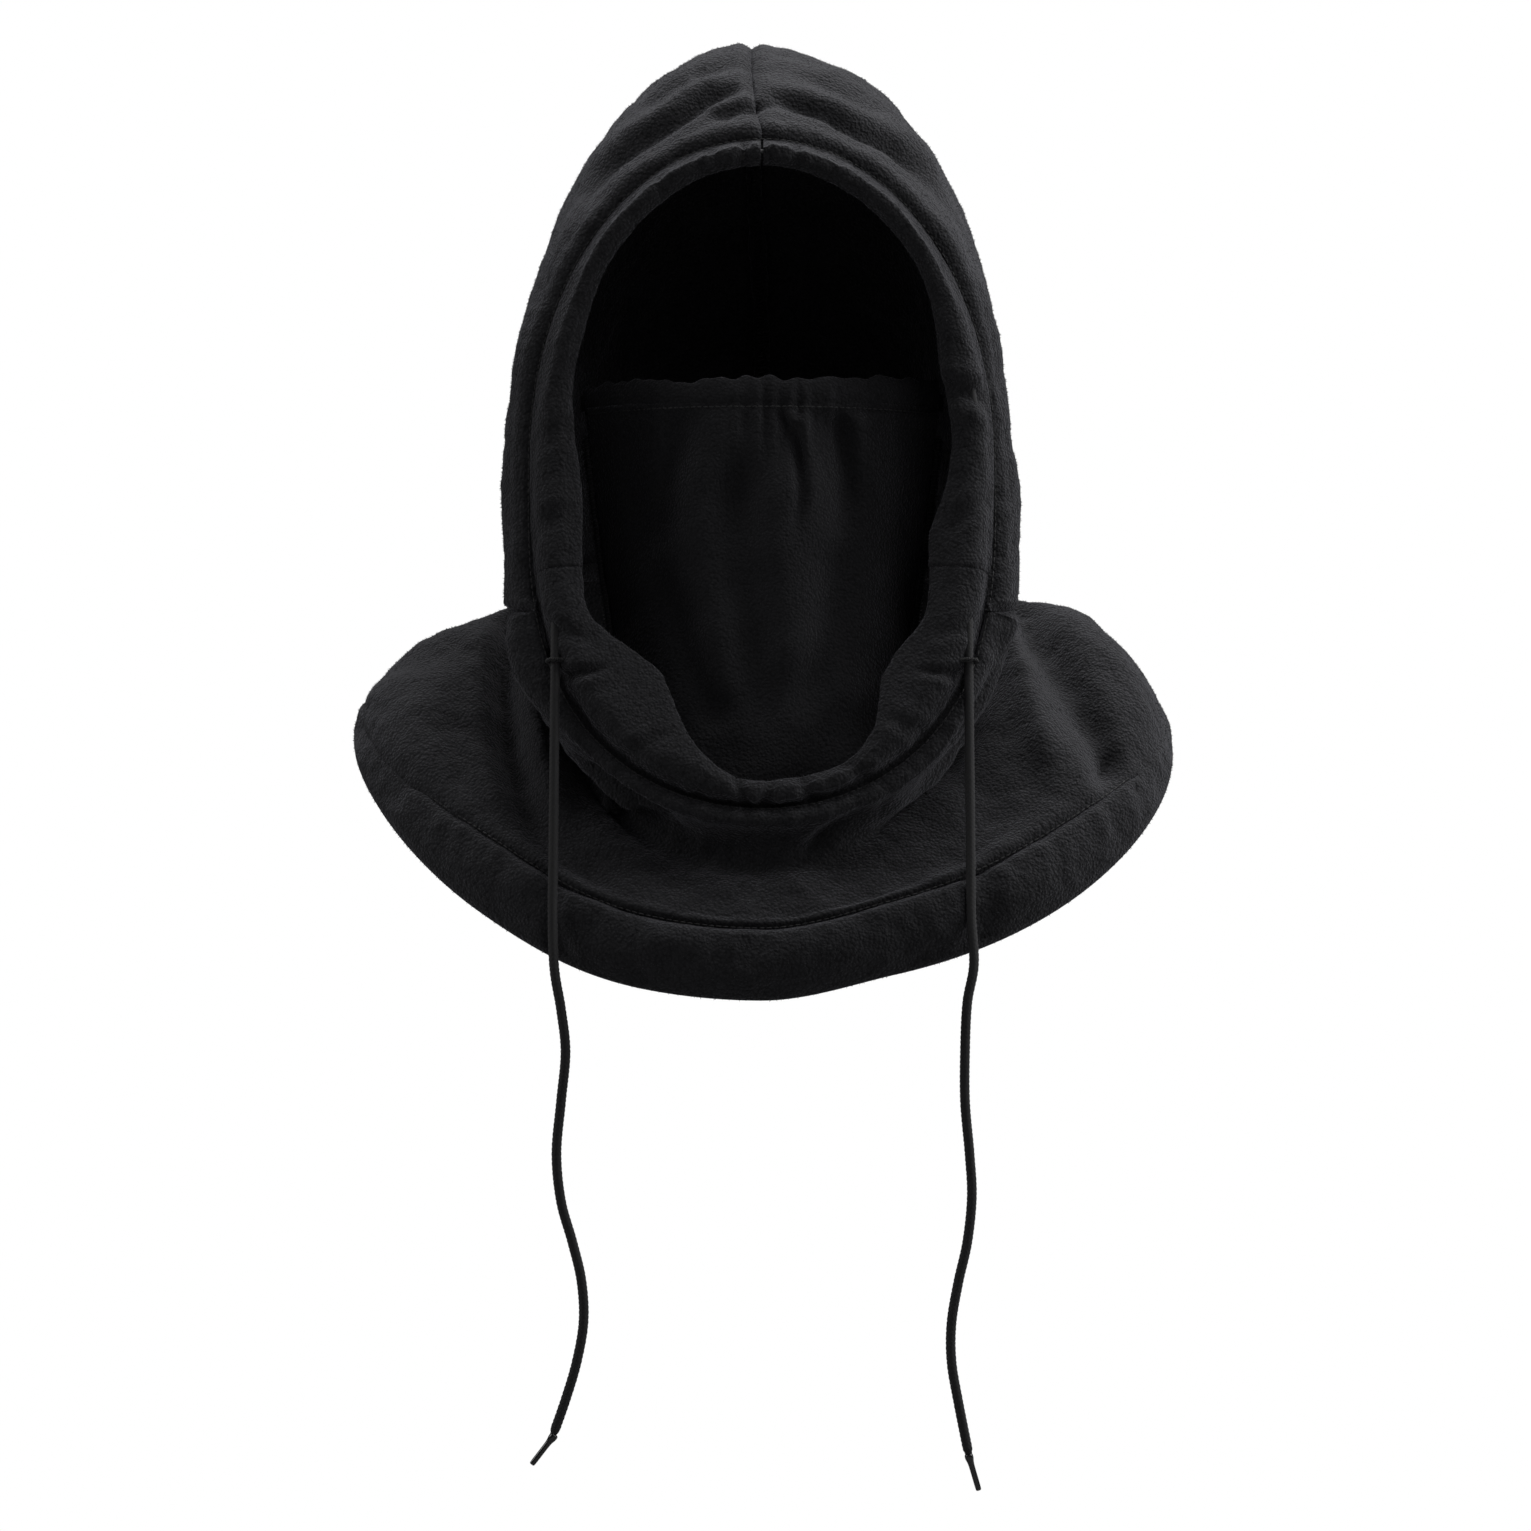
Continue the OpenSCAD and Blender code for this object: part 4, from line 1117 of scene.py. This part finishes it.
def guideCurve(points, closed=False):
    data = bpy.data.curves.new("guide", "CURVE")
    data.dimensions = "3D"
    spline = data.splines.new("POLY")
    spline.points.add(len(points) - 1)
    flat = np.hstack([np.asarray(points) * mm, np.ones((len(points), 1))])
    spline.points.foreach_set("co", flat.ravel())
    spline.use_cyclic_u = closed
    guide = bpy.data.objects.new("guide", data)
    bpy.context.scene.collection.objects.link(guide)
    return guide


stitches = stitchTree("sewnStitches", sewingThread)
loops = loopTree("overlockLoops", sewingThread)
nap = napTree("fleeceNap", polarFleece)

turnsRound = np.arange(-180, 180, 1.5)
grooveLine = drape(faceEdgeRing + 0.02, turnsRound) - 1.0 * drapeNormal(faceEdgeRing + 0.02, turnsRound)
hemTurns = np.arange(-180, 180, 1.0)
hemRow = hemTop(hemTurns, capeLook) - 0.08
hemSeam = drape(hemRow, hemTurns) - 0.9 * drapeNormal(hemRow, hemTurns)
hemSeam = leanCape(hemSeam, hemRow, capeLook)
seamHalf = neckSeam[:-1] + np.array([0.0, 0.3])
seamAll = np.vstack([seamHalf[::-1] * [1, -1], seamHalf[1:]])
fineSeam = np.stack([np.interp(np.linspace(0, len(seamAll) - 1, 400), range(len(seamAll)), seamAll[:, i])
                     for i in (0, 1)])
neckLine = drape(*fineSeam) - 0.7 * drapeNormal(*fineSeam)
maskX = np.linspace(-0.98, 0.98, 140)
maskLine = maskPoint(maskX, np.full(140, 0.078), maskLook)
maskLine[:, 1] -= 1.1 + 0.5 * pleatHeight(maskLine[:, 0], maskLook)

tunnelStitches = growOn("tunnelStitches", guideCurve(grooveLine, True), stitches, {"Seed": 3})
hemStitches = growOn("hemStitches", guideCurve(hemSeam, True), stitches, {"Seed": 5})
neckStitches = growOn("neckSeamStitches", guideCurve(neckLine), stitches, {"Seed": 7})
maskStitches = growOn("maskTunnelStitches", guideCurve(maskLine), stitches,
                      {"Seed": 9, "Pitch": 2.8 * mm, "Length": 2.2 * mm})


# A turned-in seam edge: two layers of cloth pressed to a flat strip; the overlock loops over it are grown
# separately, where wanted
def sweepStrip(name, path, outward, wide, thick, material):
    way = unit(np.gradient(path, axis=0))
    side = unit(np.cross(way, outward))
    other = np.cross(way, side)
    around = np.radians(np.arange(0, 360, 22.5))
    wave = 1 + 0.08 * lumps(path, 14, 61)[:, None]
    points = path[:, None] + side[:, None] * (wide * wave * np.cos(around))[..., None]
    points = points + other[:, None] * (thick * wave * np.sin(around))[..., None]
    strip = meshObject(name, points, tubeFaces(*points.shape[:2]), material)
    faceOut(strip)
    return strip


def seamPath(s, inside):
    t = np.zeros(len(s))
    return drape(s, t) - inside[:, None] * drapeNormal(s, t)


crownRings = np.linspace(1.0, neckRing - 0.35, 150)
crownInside = 6.6 + 6 * np.exp(-((crownRings - 1.3) / 0.9) ** 2)  # deeper under the creases
crownPath = seamPath(crownRings, crownInside)
crownPath = leanHood(crownPath - [1, 0, 0] * hoodDrift(crownRings, hoodLook)[:, None])
napeRings = np.linspace(neckRing + 0.35, stitchRing - 0.1, 70)
napePath = seamPath(napeRings, np.full(len(napeRings), 7.5))
alongBack = np.array([1.0, 0, 0])
crownSeam = sweepStrip("crownSeamEdge", crownPath, np.cross(alongBack, np.gradient(crownPath, axis=0)),
                       4.0, 1.5, polarFleece)
napeSeam = sweepStrip("capeBackSeamEdge", napePath, np.cross(alongBack, np.gradient(napePath, axis=0)),
                      4.0, 1.4, polarFleece)
neckOut = drapeNormal(*fineSeam)
neckEdgePath = (drape(*fineSeam) - 5.2 * neckOut)[14:-14]
neckEdge = sweepStrip("neckSeamEdge", neckEdgePath, neckOut[14:-14], 4.2, 1.3, polarFleece)
crownLoops = growOn("crownOverlock", guideCurve(crownPath), loops, {"Seed": 11})
napeLoops = growOn("capeBackOverlock", guideCurve(napePath), loops, {"Seed": 13})


def maskEdgePath(side):
    down = np.linspace(0.14, 0.96, 60)
    path = maskPoint(np.full(60, float(side)), down, maskLook)
    return path + np.array([side * 1.4, 1.4, 0])


def stripWithLoops(name, path, seed):
    strip = sweepStrip(name, path, np.array([0, -1.0, 0]), 1.3, 1.6, maskFleece)
    looped = growOn(name + "Loops", guideCurve(path), loops,
                    {"Seed": seed, "Wide": 1.7 * mm, "Thick": 2.0 * mm, "Pitch": 1.8 * mm})
    return strip, looped


maskEdgeLeft, maskLoopsLeft = stripWithLoops("maskSideSeamLeft", maskEdgePath(-1), 15)
maskEdgeRight, maskLoopsRight = stripWithLoops("maskSideSeamRight", maskEdgePath(1), 17)


# The holes that the cords leave by are bound with close loops, like a buttonhole
holeLook = {
    "place": (93, -100.05, -293),
    "lean": 4.5 / 25,  # the cord's own slope
    "radius": 3.5,
    "pitch": 0.75,
    "loop": 0.85,
}


def makeExit(name, side, look, seed):
    lean = math.atan(look["lean"])
    around = np.radians(np.arange(0, 360, 12))
    ring = look["radius"] * np.stack([np.cos(around), np.sin(around), np.zeros(len(around))], -1)
    turned = ring.copy()
    turned[:, 1] = ring[:, 1] * math.cos(lean)
    turned[:, 2] = -ring[:, 1] * math.sin(lean)
    ring = turned + np.array(look["place"]) * [side, 1, 1]
    return growOn(name, guideCurve(ring, True), loops,
                  {"Seed": seed, "Pitch": look["pitch"] * mm, "Wide": look["loop"] * mm,
                   "Thick": look["loop"] * mm})


exitLeft = makeExit("cordHoleLeft", -1, holeLook, 19)
exitRight = makeExit("cordHoleRight", 1, holeLook, 21)
print("stitches and seams made")

napPlan = [  # piece, name and seed
    (hoodLeft, "napHoodLeft", 23), (hoodRight, "napHoodRight", 25),
    (cape, "napCape", 27), (hem, "napHem", 29),
    (tunnelLeft, "napTunnelLeft", 31), (tunnelRight, "napTunnelRight", 33), (tunnelChin, "napTunnelChin", 35)]
naps = []
for piece, napName, seed in napPlan:
    naps.append(growOn(napName, piece, nap, {"Seed": seed}, keepSource=True))
print("nap grown:", sum(len(n.data.polygons) for n in naps))

for piece in (hoodLeft, hoodRight):
    thicken(piece, hoodLook["cloth"])
thicken(cape, capeLook["cloth"])
thicken(maskPanel, maskLook["cloth"])


onHood = {
    hoodLeft: ("hood_panel_left", "fleece"), hoodRight: ("hood_panel_right", "fleece"),
    cape: ("neck_cape", "fleece"), hem: ("cape_hem", "fleece"),
    tunnelLeft: ("face_casing_left", "fleece"), tunnelRight: ("face_casing_right", "fleece"),
    tunnelChin: ("face_casing_chin", "fleece"), tunnelStitches: ("casing_stitching", "thread"),
    hemStitches: ("hem_stitching", "thread"), neckStitches: ("neck_seam_stitching", "thread"),
    crownSeam: ("centre_seam_overlock", "fleece"), napeSeam: ("cape_back_seam", "fleece"),
    neckEdge: (None, "fleece"), crownLoops: (None, "thread"), napeLoops: (None, "thread"),
    drawcordLoop: ("drawcord_loop", "drawcord"),
    exitLeft: ("cord_exit_left", "thread"), exitRight: ("cord_exit_right", "thread"),
}
for n in naps:
    onHood[n] = (None, "fleece")
for piece, (node, slotName) in onHood.items():
    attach(piece, "hood")
    if node:
        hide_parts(node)

for piece, node, slotName in ((maskTunnel, "mask_top_casing", "mask_fleece"),
                              (maskStitches, "mask_tunnel_stitching", "thread")):
    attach(piece, "mask_top")
    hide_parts(node)

for cord, tip, side in ((leftCord, leftTip, "left"), (rightCord, rightTip, "right")):
    for piece, node, slotName in ((cord, "cord_" + side, "drawcord"),
                                  (tip, "aglet_" + side, "aglet_plastic")):
        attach(piece, "cord_end_" + side)
        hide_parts(node)

# The mask's cloth stays sewn in below: it is baked in place and attached to no body
for piece, node, slotName in ((maskPanel, "mask_panel", "mask_fleece"),
                              (maskEdgeLeft, "mask_side_seam_left", "mask_fleece"),
                              (maskEdgeRight, "mask_side_seam_right", "mask_fleece"),
                              (maskLoopsLeft, None, "thread"), (maskLoopsRight, None, "thread")):
    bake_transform(piece)
    if node:
        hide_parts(node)

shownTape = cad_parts["mask_elastic"]
shownTape.data.materials.clear()
shownTape.data.materials.append(elasticTape)


# A pale sheet of paper, lit evenly from behind
def makeFloor(z):
    around = np.radians(np.arange(0, 360, 5))
    ring = np.stack([6000 * np.cos(around), 6000 * np.sin(around), np.full(len(around), z / mm)], -1)
    material, tree = startMaterial("palePaper")
    place = addNode(tree, "ShaderNodeTexCoord").outputs["Object"]
    grain = addNode(tree, "ShaderNodeTexNoise", {"Scale": 300.0}, {"Vector": place})
    colour = addNode(tree, "ShaderNodeMix", {"A": linear("#8c8c8c"), "B": linear("#949494")},
                     {"Factor": grain.outputs["Fac"]}, data_type="RGBA")
    paper = addNode(tree, "ShaderNodeBsdfPrincipled", {"Roughness": 0.9},
                    {"Base Color": colour.outputs["Result"]})
    bright = addNode(tree, "ShaderNodeEmission", {"Color": (1, 1, 1, 1), "Strength": 1.0})
    rays = addNode(tree, "ShaderNodeLightPath")
    both = addNode(tree, "ShaderNodeMixShader", None,
                   {0: rays.outputs["Is Camera Ray"], 1: paper.outputs["BSDF"], 2: bright.outputs[0]})
    addNode(tree, "ShaderNodeOutputMaterial", None, {"Surface": both.outputs[0]})
    return meshObject("floor", ring, [tuple(range(len(around)))], material, smooth=False)


def lightWorld(seen, strength):
    world = bpy.data.worlds.new("studio")
    bpy.context.scene.world = world
    world.use_nodes = True
    tree = world.node_tree
    tree.nodes.clear()
    rays = addNode(tree, "ShaderNodeLightPath")
    room = addNode(tree, "ShaderNodeBackground", {"Color": (1, 1, 1, 1), "Strength": strength})
    white = addNode(tree, "ShaderNodeBackground", {"Color": (1, 1, 1, 1), "Strength": seen})
    both = addNode(tree, "ShaderNodeMixShader", None,
                   {0: rays.outputs["Is Camera Ray"], 1: room.outputs[0], 2: white.outputs[0]})
    addNode(tree, "ShaderNodeOutputWorld", None, {"Surface": both.outputs[0]})


def addSoftbox(name, place, target, size, power):
    data = bpy.data.lights.new(name, "AREA")
    data.shape = "RECTANGLE"
    data.size, data.size_y = size
    data.energy = power
    lamp = bpy.data.objects.new(name, data)
    lamp.location = place
    way = np.array(target) - np.array(place)
    lamp.rotation_euler = (math.acos(-way[2] / np.linalg.norm(way)), 0, math.atan2(-way[0], way[1]))
    bpy.context.scene.collection.objects.link(lamp)


roomLook = {"floorBelow": 0.03, "white": 1.0, "fill": 0.055}
softboxes = {  # place, what it points at, size and power
    "topBox": ((0.3, 0.2, 1.45), (0, 0, -0.2), (1.8, 1.1), 58),
    "rightBox": ((1.8, -0.05, 0.55), (0, 0, -0.25), (1.0, 1.2), 32),
    "leftBox": ((-1.8, -0.15, 0.5), (0, 0, -0.25), (1.0, 1.2), 16),
    "frontBox": ((1.0, -1.8, 1.0), (0, -0.1, -0.22), (1.2, 1.0), 8),
}
floor = makeFloor(cadLow.z - roomLook["floorBelow"])
lightWorld(roomLook["white"], roomLook["fill"])
for boxName, (place, target, size, power) in softboxes.items():
    addSoftbox(boxName, place, target, size, power)
bpy.context.scene.view_settings.view_transform = "Standard"
print("stage and light made")
